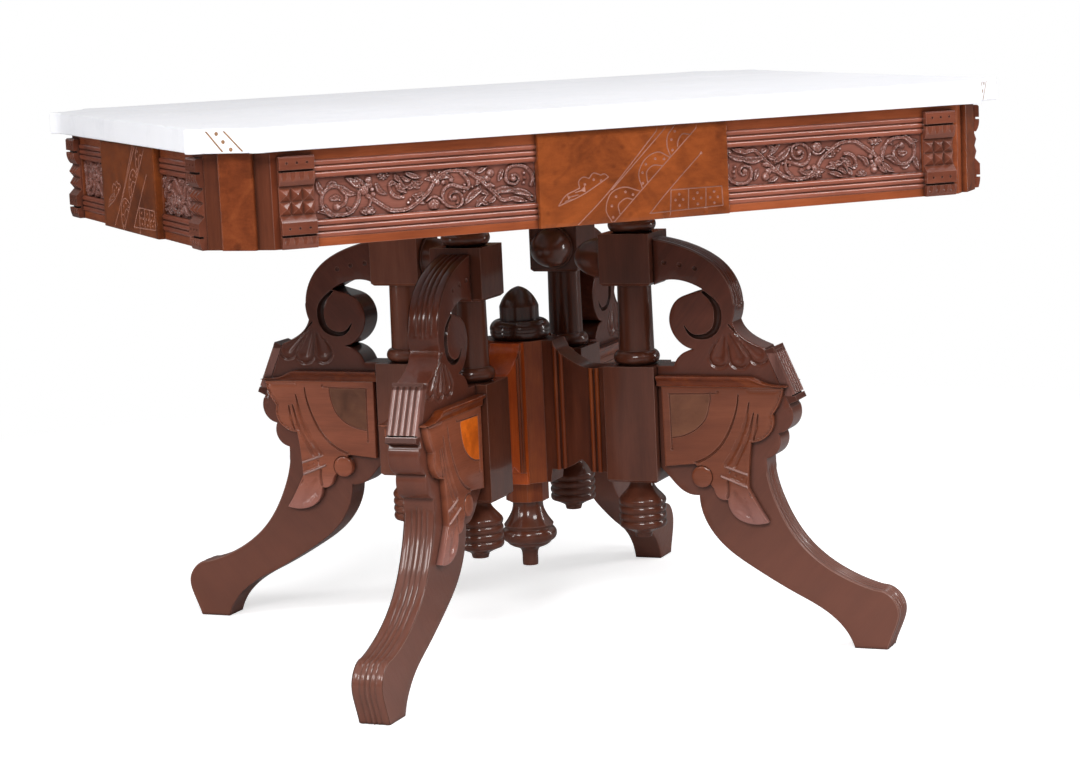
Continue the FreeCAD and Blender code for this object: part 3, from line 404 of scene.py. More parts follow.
def rubbed_gilding():
    """Dull gilding, worn through to brown."""
    material, bench = fresh_material("rubbed_gilding")
    worn = bench.noise(bench.own_place(), scale=900.0, detail=3.0, roughness=0.6)
    colour = bench.mix(bench.span(worn, 0.4, 0.62), tint(112, 74, 44), tint(176, 136, 98))
    finish_with(bench, bench.node(
        "ShaderNodeBsdfPrincipled",
        {"Base Color": colour, "Roughness": bench.span(worn, 0.3, 0.7, 0.3, 0.55)}))
    return material


def dress(material, *names):
    """Gives the frame's pieces their material."""
    for name in names:
        nodes[name].data.materials.clear()
        nodes[name].data.materials.append(material)


# ---- the woods: dark, middle and light colour of each -------------------------
APRON_WALNUT = (tint(100, 46, 25), tint(146, 74, 42), tint(174, 94, 57))
CANT_WALNUT = (tint(62, 30, 20), tint(88, 45, 29), tint(110, 58, 38))
REED_WALNUT = (tint(94, 46, 32), tint(138, 73, 53), tint(162, 92, 70))
CARVED_WALNUT = (tint(88, 52, 44), tint(128, 78, 66), tint(152, 96, 82))
BLOCK_WALNUT = (tint(76, 38, 27), tint(114, 61, 44), tint(140, 78, 58))
BURL_TABLET = (tint(76, 34, 16), tint(130, 64, 28), tint(162, 84, 38))
PALE_INCISED_LINE = (tint(92, 50, 34), tint(156, 106, 90), tint(184, 134, 118))
BURL_CANT = (tint(62, 26, 12), tint(110, 52, 25), tint(143, 74, 38))
LEG_WALNUT = (tint(60, 29, 20), tint(82, 41, 29), tint(98, 51, 37))
BLACKENED_WALNUT = (tint(38, 20, 16), tint(52, 28, 21), tint(66, 37, 28))
PLAQUE_WALNUT = (tint(74, 42, 34), tint(116, 76, 67), tint(138, 96, 87))
PALE_BEAD = (tint(108, 74, 66), tint(152, 116, 108), tint(176, 140, 132))
PLAIN_WOOD = (tint(120, 88, 58), tint(150, 112, 76), tint(176, 138, 98))
WING_WALNUT = (tint(64, 24, 10), tint(101, 43, 17), tint(138, 68, 29))
COLUMN_WALNUT = (tint(60, 30, 20), tint(80, 42, 29), tint(96, 52, 37))
CHEEK_WALNUT = (tint(84, 43, 29), tint(112, 60, 40), tint(130, 73, 50))
BURL_INSET = (tint(70, 39, 24), tint(102, 62, 43), tint(122, 76, 52))
BRIGHT_INSET = (tint(138, 60, 14), tint(208, 98, 22), tint(232, 124, 34))
# the corners that differ from the rest
# painted shade: the front-left cant is darker than the others
CORNER_CANTS = {"front_left": CANT_WALNUT}
CORNER_WINGS = {"front_left": (tint(100, 36, 12), tint(152, 61, 21), tint(188, 88, 34)),
                "front_right": (tint(50, 22, 14), tint(76, 36, 22), tint(98, 50, 32))}
# painted light: the back-left column and the back-left and front-left cheeks are lighter copies of the others
CORNER_COLUMNS = {"back_left": (tint(82, 43, 30), tint(108, 60, 43), tint(126, 73, 54))}
CORNER_CHEEKS = {"back_left": (tint(104, 55, 38), tint(140, 77, 54), tint(162, 93, 67)),
                 "front_left": (tint(95, 48, 33), tint(126, 68, 46), tint(146, 82, 57))}
BRIGHT_CORNER = "front_left"

# painted light on lower parts: colour, amount, and the levels in metres between which it fades upwards; the
# feet are lighter than the upper legs, which stand in the top's shade
FEET_PAINTED_LIGHT = (tint(132, 88, 74), 0.42, 0.06, 0.42)
# painted highlight: the cheeks' leaves are paler towards their lower rim
LEAF_PAINTED_HIGHLIGHT = (tint(166, 124, 120), 0.4, 0.172, 0.222)
# painted shade: the left side's colours are darker copies of the others; both short sides are duller
SIDE_SHADE = 0.68
SIDE_COAT = 0.25
UPRIGHT = 90.0
LEG_TILT = 50.0
# painted shade: a long rail's end is dark from just inside its outermost end block
RAIL_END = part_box("front_end_blocks")[1][0] - 0.5 * MM
# the bars at the foot and the head of each plaque
PLAQUE_FOOT, PLAQUE_HEAD = 11.5 * MM, 9.0 * MM


def shaded(colours, share):
    """The same colours, each at a share of its light."""
    return [tuple(part * share for part in colour[:3]) + (1.0,) for colour in colours]


def along_sides(label, colours, piece=None, dark_ends=False, figure=straight_grain, coat=0.6,
                crest=(0.0015, 0.4), **settings):
    """One wood per side, its grain along that side, on that side's own piece if there is one."""
    woods = {}
    for side, turn in (("front", 0.0), ("back", 0.0), ("left", 90.0), ("right", 90.0)):
        long_side = turn == 0.0
        # the left side gets the painted-shade copy of the colours
        woods[side] = polished_wood(
            label + "_" + side, figure, shaded(colours, SIDE_SHADE) if side == "left" else colours,
            grain_turn(turn), dark_from=RAIL_END if dark_ends and long_side else None,
            crest=crest if long_side else (crest[0], crest[1] * SIDE_SHADE ** 2),
            coat=coat if long_side else SIDE_COAT, **settings)
        if piece:
            dress(woods[side], side + "_" + piece)
    return woods


def plain_sawn(name, colours, *pieces, turn=(0.0, 0.0, 0.0), **settings):
    """Straight-grained wood, on these of the frame's pieces."""
    wood = polished_wood(name, straight_grain, colours, turn, **settings)
    dress(wood, *pieces)
    return wood


# the apron
along_sides("apron_walnut", APRON_WALNUT, "rail", dark_ends=True)
along_sides("reeded_walnut", REED_WALNUT, "reed_mouldings", coat=1.0, crest=(0.0008, 0.6), hollow=0.005,
            wax=0.85)
along_sides("block_walnut", BLOCK_WALNUT, "end_blocks", coat=1.0, crest=(0.0006, 0.7), hollow=0.005, wax=0.85)
carved_woods = along_sides("carved_walnut", CARVED_WALNUT, coat=1.0, wax=0.8, crest=(0.0005, 0.75),
                           hollow=0.003, close_carved=True)
tablet_burls = along_sides("burl_tablet", BURL_TABLET, figure=burl_figure, crest=(0.0004, 0.3))
# a paler colour in the incised lines
pale_incised_line = plain_sawn("pale_incised_line", PALE_INCISED_LINE, roughness=0.4, coat=0.1, wax=0.2)
dress(polished_wood("burl_cant", burl_figure, BURL_CANT), "corner_burl_panels")

# the legs, columns, cheeks and wings of each corner
leg_woods, cheek_woods = {}, {}
for corner, angle in CORNERS.items():
    upright = grain_turn(angle, UPRIGHT)
    plain_sawn("cant_walnut_" + corner, CORNER_CANTS.get(corner, APRON_WALNUT), "corner_board_" + corner,
               turn=grain_turn(0.0, UPRIGHT), crest=(0.001, 0.15))
    leg_woods[corner] = plain_sawn("leg_walnut_" + corner, LEG_WALNUT, turn=grain_turn(angle, LEG_TILT),
                                   figure_strength=0.3, worn_low=FEET_PAINTED_LIGHT)
    plain_sawn("turned_walnut_" + corner, CORNER_COLUMNS.get(corner, COLUMN_WALNUT), "column_" + corner,
               "pendant_" + corner, turn=upright, coat=0.8)
    cheek_woods[corner] = plain_sawn("cheek_walnut_" + corner, CORNER_CHEEKS.get(corner, CHEEK_WALNUT),
                                     turn=grain_turn(angle), figure_strength=0.35, worn_low=LEAF_PAINTED_HIGHLIGHT)
    plain_sawn("wing_walnut_" + corner, CORNER_WINGS.get(corner, WING_WALNUT), "wing_" + corner,
               turn=upright, coat=0.4)
burl_inset = polished_wood("burl_inset", burl_figure, BURL_INSET)
bright_inset = polished_wood("bright_inset", burl_figure, BRIGHT_INSET)
groove_wood = plain_sawn("groove_walnut", BLACKENED_WALNUT, coat=0.3)
moulding_wood = plain_sawn("cheek_moulding_walnut", WING_WALNUT, turn=grain_turn(0.0))
pale_bead = plain_sawn("pale_bead", PALE_BEAD, wax=0.3)
plaque_low, plaque_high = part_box("knee_plaques")
# the plaque's pale colour is a painted highlight on its reeds; the bars at foot and head are dark and dull
plain_sawn("plaque_walnut", PLAQUE_WALNUT, "knee_plaques", turn=grain_turn(0.0, UPRIGHT), wax=0.9,
           dull_beyond=(plaque_low[2] + PLAQUE_FOOT, plaque_high[2] - PLAQUE_HEAD))

# the middle, the inner parts and the slab
plain_sawn("post_walnut", WING_WALNUT, "centre_post", "wing_beads", turn=grain_turn(0.0, UPRIGHT), coat=0.3)
plain_sawn("turned_walnut", COLUMN_WALNUT, "centre_pendant", "roundels", turn=grain_turn(0.0, UPRIGHT),
           coat=0.8)
plain_sawn("blackened_walnut", BLACKENED_WALNUT, "centre_finial", turn=grain_turn(0.0, UPRIGHT), coat=0.8)
plain_sawn("inner_wood", PLAIN_WOOD, "cross_bearer_left", "cross_bearer_right", "bearer_cleats",
           "corner_glue_blocks", "leg_dowels", "wing_dowels", coat=0.0, roughness=0.6)
dress(white_marble(), "marble_top")
dress(screw_steel(), "bearer_screws")


# ---- carving tools: lines, strokes and boards ----------------------------------
# what keeps a division from zero, and what counts as one place in a mesh
TINY, MERGE_REACH = 1e-9, 1e-6
# the least half width of a stroke, the step of a mesh line, and a dot's rings
THINNEST_HALF = 0.05
LINE_STEP = 2.0
RING_POINTS, INNER_RING = 13, 0.55
# filling points: rows for even triangles, the gap that they keep from the lines as a share of their
# step, and the step over a face without carving
ROW_SHARE = 0.866
CROWDED_SHARE = 0.5
PLAIN_STEP = 14.0
# a board's rounded edge, how near to it the carving fades out, and the bend that makes an edge sharp
ROUNDING_STEPS = 4
RIM_FADE = 1.2
SHARP_TURN = 38.0
# at a board's corners: the least length of a usable middle way, how much a corner's way may lengthen,
# the cosine past which an inward corner is sharp, and how much room is left there and further off
LEAST_MIDDLE, LEAST_COSINE, SHARP_COSINE = 0.2, 0.6, -0.2
CORNER_ROOM, ROOM_REACH = 0.04, 16.0


def smooth_line(points, step=1.5):
    """Points at about even steps along a smooth curve through these ones."""
    path = np.array(points, float)
    if len(path) == 2:
        count = max(2, int(np.linalg.norm(path[1] - path[0]) / step) + 1)
        return path[0] + (path[1] - path[0]) * np.linspace(0.0, 1.0, count)[:, None]
    padded = np.vstack([2 * path[0] - path[1], path, 2 * path[-1] - path[-2]])
    pieces = []
    for before, start, end, after in zip(padded, padded[1:], padded[2:], padded[3:]):
        count = max(1, round(np.linalg.norm(end - start) / step))
        t = np.linspace(0.0, 1.0, count, endpoint=False)[:, None]
        bend = 2 * before - 5 * start + 4 * end - after
        twist = 3 * start - before - 3 * end + after
        pieces.append(0.5 * (2 * start + (end - before) * t + bend * t ** 2 + twist * t ** 3))
    return np.vstack(pieces + [path[-1:]])


def nearest_on(places, path):
    """Each place's distance to a path, and the share of the path at its nearest point."""
    start, way = path[:-1], np.diff(path, axis=0)
    length = np.maximum(np.linalg.norm(way, axis=1), TINY)
    run = np.concatenate([[0.0], np.cumsum(length)])
    gap = places[:, None, :] - start[None]
    along = np.clip((gap * way).sum(2) / length ** 2, 0.0, 1.0)
    distance = np.linalg.norm(gap - along[..., None] * way, axis=2)
    best = distance.argmin(1)
    rows = np.arange(len(places))
    return distance[rows, best], (run[best] + along[rows, best] * length[best]) / run[-1]


def closed(outline):
    """An outline that comes back to its first point."""
    return np.vstack([outline, outline[:1]])


def evenly(values, share):
    """A value read between values that stand at even shares of a line."""
    return np.interp(share, np.linspace(0.0, 1.0, len(values)), values)


def beside(path, offsets):
    """The path moved sideways by an offset at each of its points."""
    way = np.gradient(path, axis=0)
    way /= np.maximum(np.linalg.norm(way, axis=1), TINY)[:, None]
    return path + np.stack([-way[:, 1], way[:, 0]], axis=1) * np.asarray(offsets)[:, None]


class Relief:
    """Heights over the places of a face: strokes stand up from its ground or are cut in."""

    # shares of a stroke's half width: a stem's groove, a leaf's dish and its rounded rim
    GROOVE_SHARE, DISH_SHARE, RIM_SHARE = 0.5, 0.8, 0.3
    # of a petal's: the middle and the width of its moat, its hollow, and how fast the moat starts
    MOAT_MIDDLE, MOAT_WIDTH, HOLLOW_SHARE, MOAT_START = 1.12, 0.24, 0.62, 2.2

    def __init__(self, places):
        self.places = np.asarray(places, float).reshape(-1, 2)
        self.raised = np.zeros(len(self.places))
        self.sunk = np.zeros(len(self.places))

    def height(self):
        return self.raised - self.sunk

    def near(self, points, widths):
        """The places by a stroke: their numbers, their distances to it and their shares of its length."""
        path = smooth_line(points)
        low, high = path.min(0) - max(widths), path.max(0) + max(widths)
        chosen = np.nonzero(((self.places > low) & (self.places < high)).all(1))[0]
        if not len(chosen):
            return chosen, np.zeros(0), np.zeros(0)
        distance, share = nearest_on(self.places[chosen], path)
        return chosen, distance, share

    def beside_stroke(self, points, widths):
        """The places by a stroke, and how far across its half width and along it each one is."""
        chosen, distance, share = self.near(points, widths)
        return chosen, distance / np.maximum(evenly(widths, share) / 2.0, THINNEST_HALF), share

    def within(self, centre, radius):
        """The places in a circle, and how far out each one is as a share of its radius."""
        distance = np.linalg.norm(self.places - np.array(centre, float), axis=1)
        chosen = np.nonzero(distance < radius)[0]
        return chosen, distance[chosen] / radius

    def lift(self, chosen, height):
        self.raised[chosen] = np.maximum(self.raised[chosen], height)

    def dig(self, chosen, depth):
        self.sunk[chosen] = np.maximum(self.sunk[chosen], depth)

    def rib(self, points, widths, rise, groove=0.0):
        """A round-backed stem, with a groove along its back."""
        chosen, across = self.beside_stroke(points, widths)[:2]
        back = rise * np.sqrt(np.clip(1.0 - across ** 2, 0.0, 1.0))
        back -= groove * np.clip(1.0 - (across / self.GROOVE_SHARE) ** 2, 0.0, 1.0)
        self.lift(chosen[across < 1.0], back[across < 1.0])

    def leaf(self, points, width, rise, dish=0.45):
        """A pointed leaf: rims high, dished along its spine."""
        chosen, distance, share = self.near(points, [width])
        half = width / 2.0 * np.sin(np.pi * (0.1 + 0.87 * share) ** 0.8) ** 0.8
        across = distance / np.maximum(half, THINNEST_HALF)
        body = rise * (1.0 - dish * np.clip(1.0 - (across / self.DISH_SHARE) ** 2, 0.0, 1.0))
        body *= np.sqrt(np.clip((1.0 - across) / self.RIM_SHARE, 0.0, 1.0))
        self.lift(chosen[across < 1.0], body[across < 1.0])

    def bead(self, centre, radius, rise):
        chosen, out = self.within(centre, radius)
        self.lift(chosen, rise * np.sqrt(1.0 - out ** 2))

    def cut(self, points, widths, depth, flatness=2.0):
        """A groove; a greater flatness gives a flatter floor and steeper walls."""
        chosen, across = self.beside_stroke(points, widths)[:2]
        self.dig(chosen, depth * (1.0 - np.clip(across, 0.0, 1.0) ** flatness))

    def pit(self, centre, radius, depth):
        chosen, out = self.within(centre, radius)
        self.dig(chosen, depth * (1.0 - out ** 2))

    def petal(self, points, widths, moat, hollow):
        """A spoon set into the face: a moat round it and a hollow in its middle."""
        chosen, across, share = self.beside_stroke(points, widths)
        ring = moat * np.clip(1.0 - np.abs(across - self.MOAT_MIDDLE) / self.MOAT_WIDTH, 0.0, 1.0)
        ring *= np.clip(share * self.MOAT_START, 0.0, 1.0)
        bowl = hollow * np.clip(1.0 - (across / self.HOLLOW_SHARE) ** 2, 0.0, 1.0)
        self.dig(chosen, np.maximum(ring, bowl))


def stroke_lines(points, widths, shares=(-1.0, 0.0, 1.0)):
    """The lines that a groove's mesh follows: its edges and the lines between them."""
    path = smooth_line(points, LINE_STEP)
    half = evenly(widths, np.linspace(0.0, 1.0, len(path))) / 2.0
    return [beside(path, half * share) for share in shares]


def dot_lines(centre, radius):
    """The lines that a dot's mesh follows: two rings and its middle."""
    turns = np.linspace(0.0, 2.0 * np.pi, RING_POINTS)
    ring = np.stack([np.cos(turns), np.sin(turns)], axis=1)
    return [np.array(centre) + ring * radius, np.array(centre) + ring * radius * INNER_RING,
            np.array([centre, centre], float)]


def inside_of(places, outline):
    """Which places lie within a closed outline."""
    x, y = places[:, 0][:, None], places[:, 1][:, None]
    start, end = outline, np.roll(outline, -1, axis=0)
    rise = end[:, 1] - start[:, 1]
    rise = np.where(np.abs(rise) < TINY, TINY, rise)
    crosses = (start[:, 1] > y) != (end[:, 1] > y)
    left_of = x < start[:, 0] + (y - start[:, 1]) * (end[:, 0] - start[:, 0]) / rise
    return (crosses & left_of).sum(1) % 2 == 1


def open_grid(low, high, step):
    """Staggered places over a box."""
    rows = np.arange(low[1] + step / 2.0, high[1], step * ROW_SHARE)
    columns = np.arange(low[0] + step / 2.0, high[0], step)
    x, y = np.meshgrid(columns, rows)
    x = x + (np.arange(len(rows)) % 2)[:, None] * step / 2.0
    return np.stack([x.ravel(), y.ravel()], axis=1)


def clear_of(places, tree, gap):
    """Which places keep this gap from all the points in the tree."""
    return np.array([tree.find((place[0], place[1], 0.0))[2] > gap for place in places], bool)


def fill_face(outline, lines=(), busy=None, fine=1.8, coarse=9.0):
    """Triangles over a flat outline: along the lines, close where it is busy and wide elsewhere."""
    fixed = np.vstack([outline] + list(lines))
    tree = KDTree(len(fixed))
    for index, place in enumerate(fixed):
        tree.insert((place[0], place[1], 0.0), index)
    tree.balance()
    spots = []
    for step, wanted in ((coarse, False), (fine, True)):
        grid = open_grid(outline.min(0), outline.max(0), step)
        crowded = busy(grid) if busy else np.zeros(len(grid), bool)
        grid = grid[crowded == wanted]
        if len(grid):
            spots.append(grid[clear_of(grid, tree, step * CROWDED_SHARE)])
    places = np.vstack([fixed] + spots)
    edges, start = [], len(outline)
    for line in lines:
        edges += [(start + i, start + i + 1) for i in range(len(line) - 1)]
        start += len(line)
    made = delaunay_2d_cdt([Vector(place) for place in places], edges, [list(range(len(outline)))], 1,
                           MERGE_REACH)
    vertices = np.array([[v.x, v.y] for v in made[0]])
    owner = {}
    for index, origins in enumerate(made[3]):
        for origin in origins:
            if origin < len(outline):
                owner[origin] = index
    used = sorted({i for face in made[2] for i in face})
    return vertices, [tuple(face) for face in made[2]], owner, used


def rim_of(outline):
    """Outward directions at the outline's points, lengthened at corners, and how far each may round."""
    back, ahead = outline - np.roll(outline, 1, axis=0), np.roll(outline, -1, axis=0) - outline
    back /= np.maximum(np.linalg.norm(back, axis=1), TINY)[:, None]
    ahead /= np.maximum(np.linalg.norm(ahead, axis=1), TINY)[:, None]
    middle = back + ahead
    small = np.linalg.norm(middle, axis=1) < LEAST_MIDDLE
    middle[small] = ahead[small]
    middle /= np.linalg.norm(middle, axis=1)[:, None]
    stretch = 1.0 / np.clip((middle * ahead).sum(1), LEAST_COSINE, 1.0)
    turn = back[:, 0] * ahead[:, 1] - back[:, 1] * ahead[:, 0]
    sharp = ((back * ahead).sum(1) < SHARP_COSINE) & (turn > 0)
    room = np.ones(len(outline))
    for place in outline[sharp]:
        room = np.minimum(room, CORNER_ROOM + np.linalg.norm(outline - place, axis=1) / ROOM_REACH)
    return np.stack([middle[:, 1], -middle[:, 0]], axis=1) * stretch[:, None], room


def turns_left(outline):
    """Whether a closed outline runs anticlockwise."""
    ahead = np.roll(outline, -1, axis=0)
    return np.sum(outline[:, 0] * ahead[:, 1] - ahead[:, 0] * outline[:, 1]) >= 0


def edge_section(low, high, rounding, round_low, edge_steps):
    """A board's edge from its low face to its high one: levels, and how far in each one is."""
    turns = np.radians(np.linspace(0.0, 90.0, ROUNDING_STEPS))
    curve = [(rounding * (1.0 - math.cos(t)), rounding * (1.0 - math.sin(t))) for t in turns]
    low_curve = curve if round_low else [(0.0, 0.0)]
    inner = np.linspace(low + low_curve[-1][0], high - rounding, edge_steps + 1)[1:-1]
    section = [(low + drop, inset) for drop, inset in low_curve] + [(level, 0.0) for level in inner]
    section += [(high - drop, inset) for drop, inset in reversed(curve)]
    return np.array(section).T


def board(outline, low, high, rounding=1.2, carve=None, lines=(), busy=None, fine=1.8, carve_low=False,
          edge=None, edge_steps=2, round_low=True):
    """A closed board: outline in its plane, thickness from low to high, its edge rounded and shaped.

    carve(places) gives heights on the high face, and on the low one too if carve_low.
    edge(places, across) gives how deep the edge is shaped at each outline place and thickness.
    """
    if not turns_left(outline):
        outline = outline[::-1]
    outward, room = rim_of(outline)
    across, insets = edge_section(low, high, rounding, round_low, edge_steps)
    depth = insets[None, :] * room[:, None]
    if edge is not None:
        depth = depth + edge(outline, across) * (insets[None, :] < rounding - TINY)
    rows, columns = depth.shape
    band = outline[:, None, :] - outward[:, None, :] * depth[:, :, None]
    places = [(*band[i, j], across[j]) for i in range(rows) for j in range(columns)]
    faces = []
    for i in range(rows):
        ahead = (i + 1) % rows
        for j in range(columns - 1):
            faces.append((i * columns + j, ahead * columns + j, ahead * columns + j + 1, i * columns + j + 1))
    for column, level, carved, sign in ((0, low, carve_low, -1.0), (columns - 1, high, True, 1.0)):
        edge_line = band[:, column]
        if carved and carve is not None:
            flat, triangles, owner, used = fill_face(edge_line, lines, busy, fine)
            relief = np.zeros(len(flat))
            distance = nearest_on(flat[used], closed(edge_line))[0]
            relief[used] = carve(flat[used]) * np.clip(distance / RIM_FADE, 0.0, 1.0)
        else:
            flat, triangles, owner, used = fill_face(edge_line, coarse=PLAIN_STEP)
            relief = np.zeros(len(flat))
        link = {index: origin * columns + column for origin, index in owner.items()}
        for index in used:
            if index not in link:
                link[index] = len(places)
                places.append((*flat[index], level + sign * relief[index]))
        for face in triangles:
            corners = tuple(link[index] for index in face)
            faces.append(corners if sign > 0 else corners[::-1])
    return np.array(places), faces


class Piece:
    """Closed bodies gathered into one piece, in the frame of the face that they lie on."""

    def __init__(self):
        self.places, self.faces, self.finishes = [], [], []
        self.count = 0

    def add(self, places, faces, finish=0):
        """finish is a material's number, or a function of the face centres that gives one each."""
        places = np.asarray(places, float)
        if callable(finish):
            finish = finish(np.array([places[list(face)].mean(0) for face in faces]))
        else:
            finish = [finish] * len(faces)
        self.faces += [tuple(int(i) + self.count for i in face) for face in faces]
        self.places.append(places)
        self.finishes += list(finish)
        self.count += len(places)

    def make(self, name, ways, materials, stands_for=(), body="frame"):
        """The mesh object; ways are functions from its places to the table's, one for each copy."""
        own = np.vstack(self.places)
        places = np.vstack([way(own) for way in ways]) * MM
        faces = [tuple(i + k * self.count for i in face) for k in range(len(ways)) for face in self.faces]
        mesh = bpy.data.meshes.new(name)
        mesh.from_pydata([tuple(place) for place in places], [], faces)
        for material in materials:
            mesh.materials.append(material)
        mesh.polygons.foreach_set("material_index", [int(f) for f in self.finishes] * len(ways))
        solid = bmesh.new()
        solid.from_mesh(mesh)
        bmesh.ops.recalc_face_normals(solid, faces=solid.faces)
        solid.to_mesh(mesh)
        solid.free()
        mesh.polygons.foreach_set("use_smooth", [True] * len(mesh.polygons))
        mesh.set_sharp_from_angle(angle=math.radians(SHARP_TURN))
        piece = bpy.data.objects.new(name, mesh)
        scene.collection.objects.link(piece)
        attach(piece, body)
        if stands_for:
            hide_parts(*stands_for)
        return piece


def side_box(side, name):
    """A side's node, in millimetres: half its length, its foot and head, and its back and front
    as they lie out from the table's middle."""
    low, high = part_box(side + "_" + name)
    along = 0 if side in ("front", "back") else 1
    back, front = sorted(abs(end[1 - along]) for end in (low, high))
    return high[along] / MM, low[2] / MM, high[2] / MM, back / MM, front / MM


def on_side(side, raised=0.0):
    """Places (along, up, out of the rail's face) of one side, as the table has them."""
    turn = math.radians(SIDES[side])
    reach = side_box(side, "rail")[-1]

    def place(points):
        along, up, out = points[:, 0], points[:, 1] + raised, points[:, 2] + reach
        return np.stack([along * math.cos(turn) + out * math.sin(turn),
                         along * math.sin(turn) - out * math.cos(turn), up], axis=1)
    return place


def on_leg(corner, face=1.0):
    """Places (out from the middle, up, across the plank) of one leg, as the table has them."""
    turn = math.radians(CORNERS[corner])

    def place(points):
        out, up, across = points[:, 0], points[:, 1], points[:, 2] * face
        return np.stack([out * math.cos(turn) - across * math.sin(turn),
                         out * math.sin(turn) + across * math.cos(turn), up], axis=1)
    return place


# reading an outline from a node: places that round to the same spot are one, a flat side may be this
# uneven, its border is traced at this step, and a bend in degrees past this is a corner
SAME_PLACE_PER_MM = 50.0
LEVEL_TOLERANCE = 0.03
TRACE_STEP = 0.3
CORNER_BEND = 20.0


def border_loops(faces):
    """The closed loops of edges that belong to one face only."""
    edges = {}
    for corners in faces:
        for a, b in zip(corners, corners[1:] + corners[:1]):
            edges[min(a, b), max(a, b)] = edges.get((min(a, b), max(a, b)), 0) + 1
    next_to = {}
    for (a, b), count in edges.items():
        if count == 1:
            next_to.setdefault(a, []).append(b)
            next_to.setdefault(b, []).append(a)
    loops, seen = [], set()
    for first in next_to:
        if first in seen:
            continue
        loop, onward = [], [first]
        while onward:
            loop.append(onward[0])
            seen.add(onward[0])
            onward = [other for other in next_to[loop[-1]] if other not in seen]
        loops.append(loop)
    return loops


def flat_side(name, corner, level, step=2.2):
    """The outline of a board's flat side, read from its node, at even steps between its corners."""
    mesh = nodes[name].data
    turn = Matrix.Rotation(-math.radians(CORNERS[corner]), 3, "Z")
    places = np.array([turn @ vertex.co for vertex in mesh.vertices]) / MM
    numbers = {}
    same = [numbers.setdefault(tuple((place * SAME_PLACE_PER_MM).round().astype(int)), i)
            for i, place in enumerate(places)]
    flat = [[same[i] for i in face.vertices] for face in mesh.polygons
            if all(abs(places[i][1] - level) < LEVEL_TOLERANCE for i in face.vertices)]
    outlines = [places[loop][:, [0, 2]] for loop in border_loops(flat)]
    loop = max(outlines, key=lambda line: np.ptp(line[:, 0]) * np.ptp(line[:, 1]))
    back, ahead = loop - np.roll(loop, 1, axis=0), np.roll(loop, -1, axis=0) - loop
    bend = np.degrees(np.abs(np.arctan2(back[:, 0] * ahead[:, 1] - back[:, 1] * ahead[:, 0],
                                        (back * ahead).sum(1))))
    corners = np.nonzero(bend > CORNER_BEND)[0]
    pieces = []
    for start, end in zip(corners, np.append(corners[1:], corners[0] + len(loop))):
        stretch = smooth_line(loop[np.arange(start, end + 1) % len(loop)], TRACE_STEP)
        run = np.concatenate([[0.0], np.cumsum(np.linalg.norm(np.diff(stretch, axis=0), axis=1))])
        marks = np.linspace(0.0, run[-1], max(1, round(run[-1] / step)), endpoint=False)
        pieces.append(np.stack([np.interp(marks, run, stretch[:, axis]) for axis in (0, 1)], axis=1))
    return np.vstack(pieces)


def even_outline(corners, step):
    """A closed outline of straight lines, with points at even steps."""
    pieces = []
    for start, end in zip(corners, corners[1:] + corners[:1]):
        count = max(1, round(math.dist(start, end) / step))
        share = np.linspace(0.0, 1.0, count, endpoint=False)[:, None]
        pieces.append(np.array(start, float) + (np.array(end, float) - np.array(start, float)) * share)
    return np.vstack(pieces)


# ---- carved panels ---------------------------------------------------------------
# The running scroll of a long panel, by (along, up) from its lower left corner.
# stems: points, widths, rise and the groove along the back
SCROLL_STEMS = [
    # the left spiral
    ([(58, 30), (56, 18), (48, 7), (35, 3), (20, 6), (11, 16), (12, 29), (22, 37), (34, 36), (41, 28),
      (40, 18), (33, 13), (27, 15)], [5.0, 5.0, 4.6, 4.2, 3.6], 2.4, 0.6),
    # the long waving stem, and its side shoot
    ([(68, 24), (80, 15), (90, 8), (97, 4), (110, 3), (122, 6), (133, 13), (145, 22), (152, 32), (160, 41),
      (172, 46), (185, 46), (197, 43), (208, 36), (214, 31), (225, 21), (234, 12), (241, 6), (253, 7)],
     [5.6, 5.2, 5.0, 5.6, 5.0], 2.5, 0.8),
    ([(70, 24), (72, 17), (70, 12)], [3.5, 3.0], 2.0, 0.0),
    # the hooked leaf, and the hood over the bud
    ([(96, 34), (98, 26), (104, 20), (113, 19)], [3.0, 5.5, 4.0], 2.6, 0.5),
    ([(142, 12), (149, 16), (157, 15), (164, 8)], [2.5, 4.0, 2.5], 2.9, 0.0),
    # the middle spiral, and the neck of the bud above the stem
    ([(188, 43), (196, 34), (197, 24), (185, 26), (175, 29), (166, 25), (163, 15), (167, 6), (177, 1.5),
      (187, 5), (188, 14), (183, 20), (176, 20), (172, 15), (175, 11)], [4.5, 4.5, 4.0, 3.6, 3.0], 2.4, 0.5),
    ([(221, 26), (225, 25), (229, 24)], [5.0, 7.0, 4.0], 2.6, 0.0),
    # the right spiral
    ([(279, 22), (281.5, 31), (277, 40), (268, 46), (256, 47), (248, 42), (246, 32), (250, 26), (258, 25),
      (263, 30), (260, 35), (254, 35)], [5.0, 4.6, 4.0, 3.2], 2.4, 0.6),
]
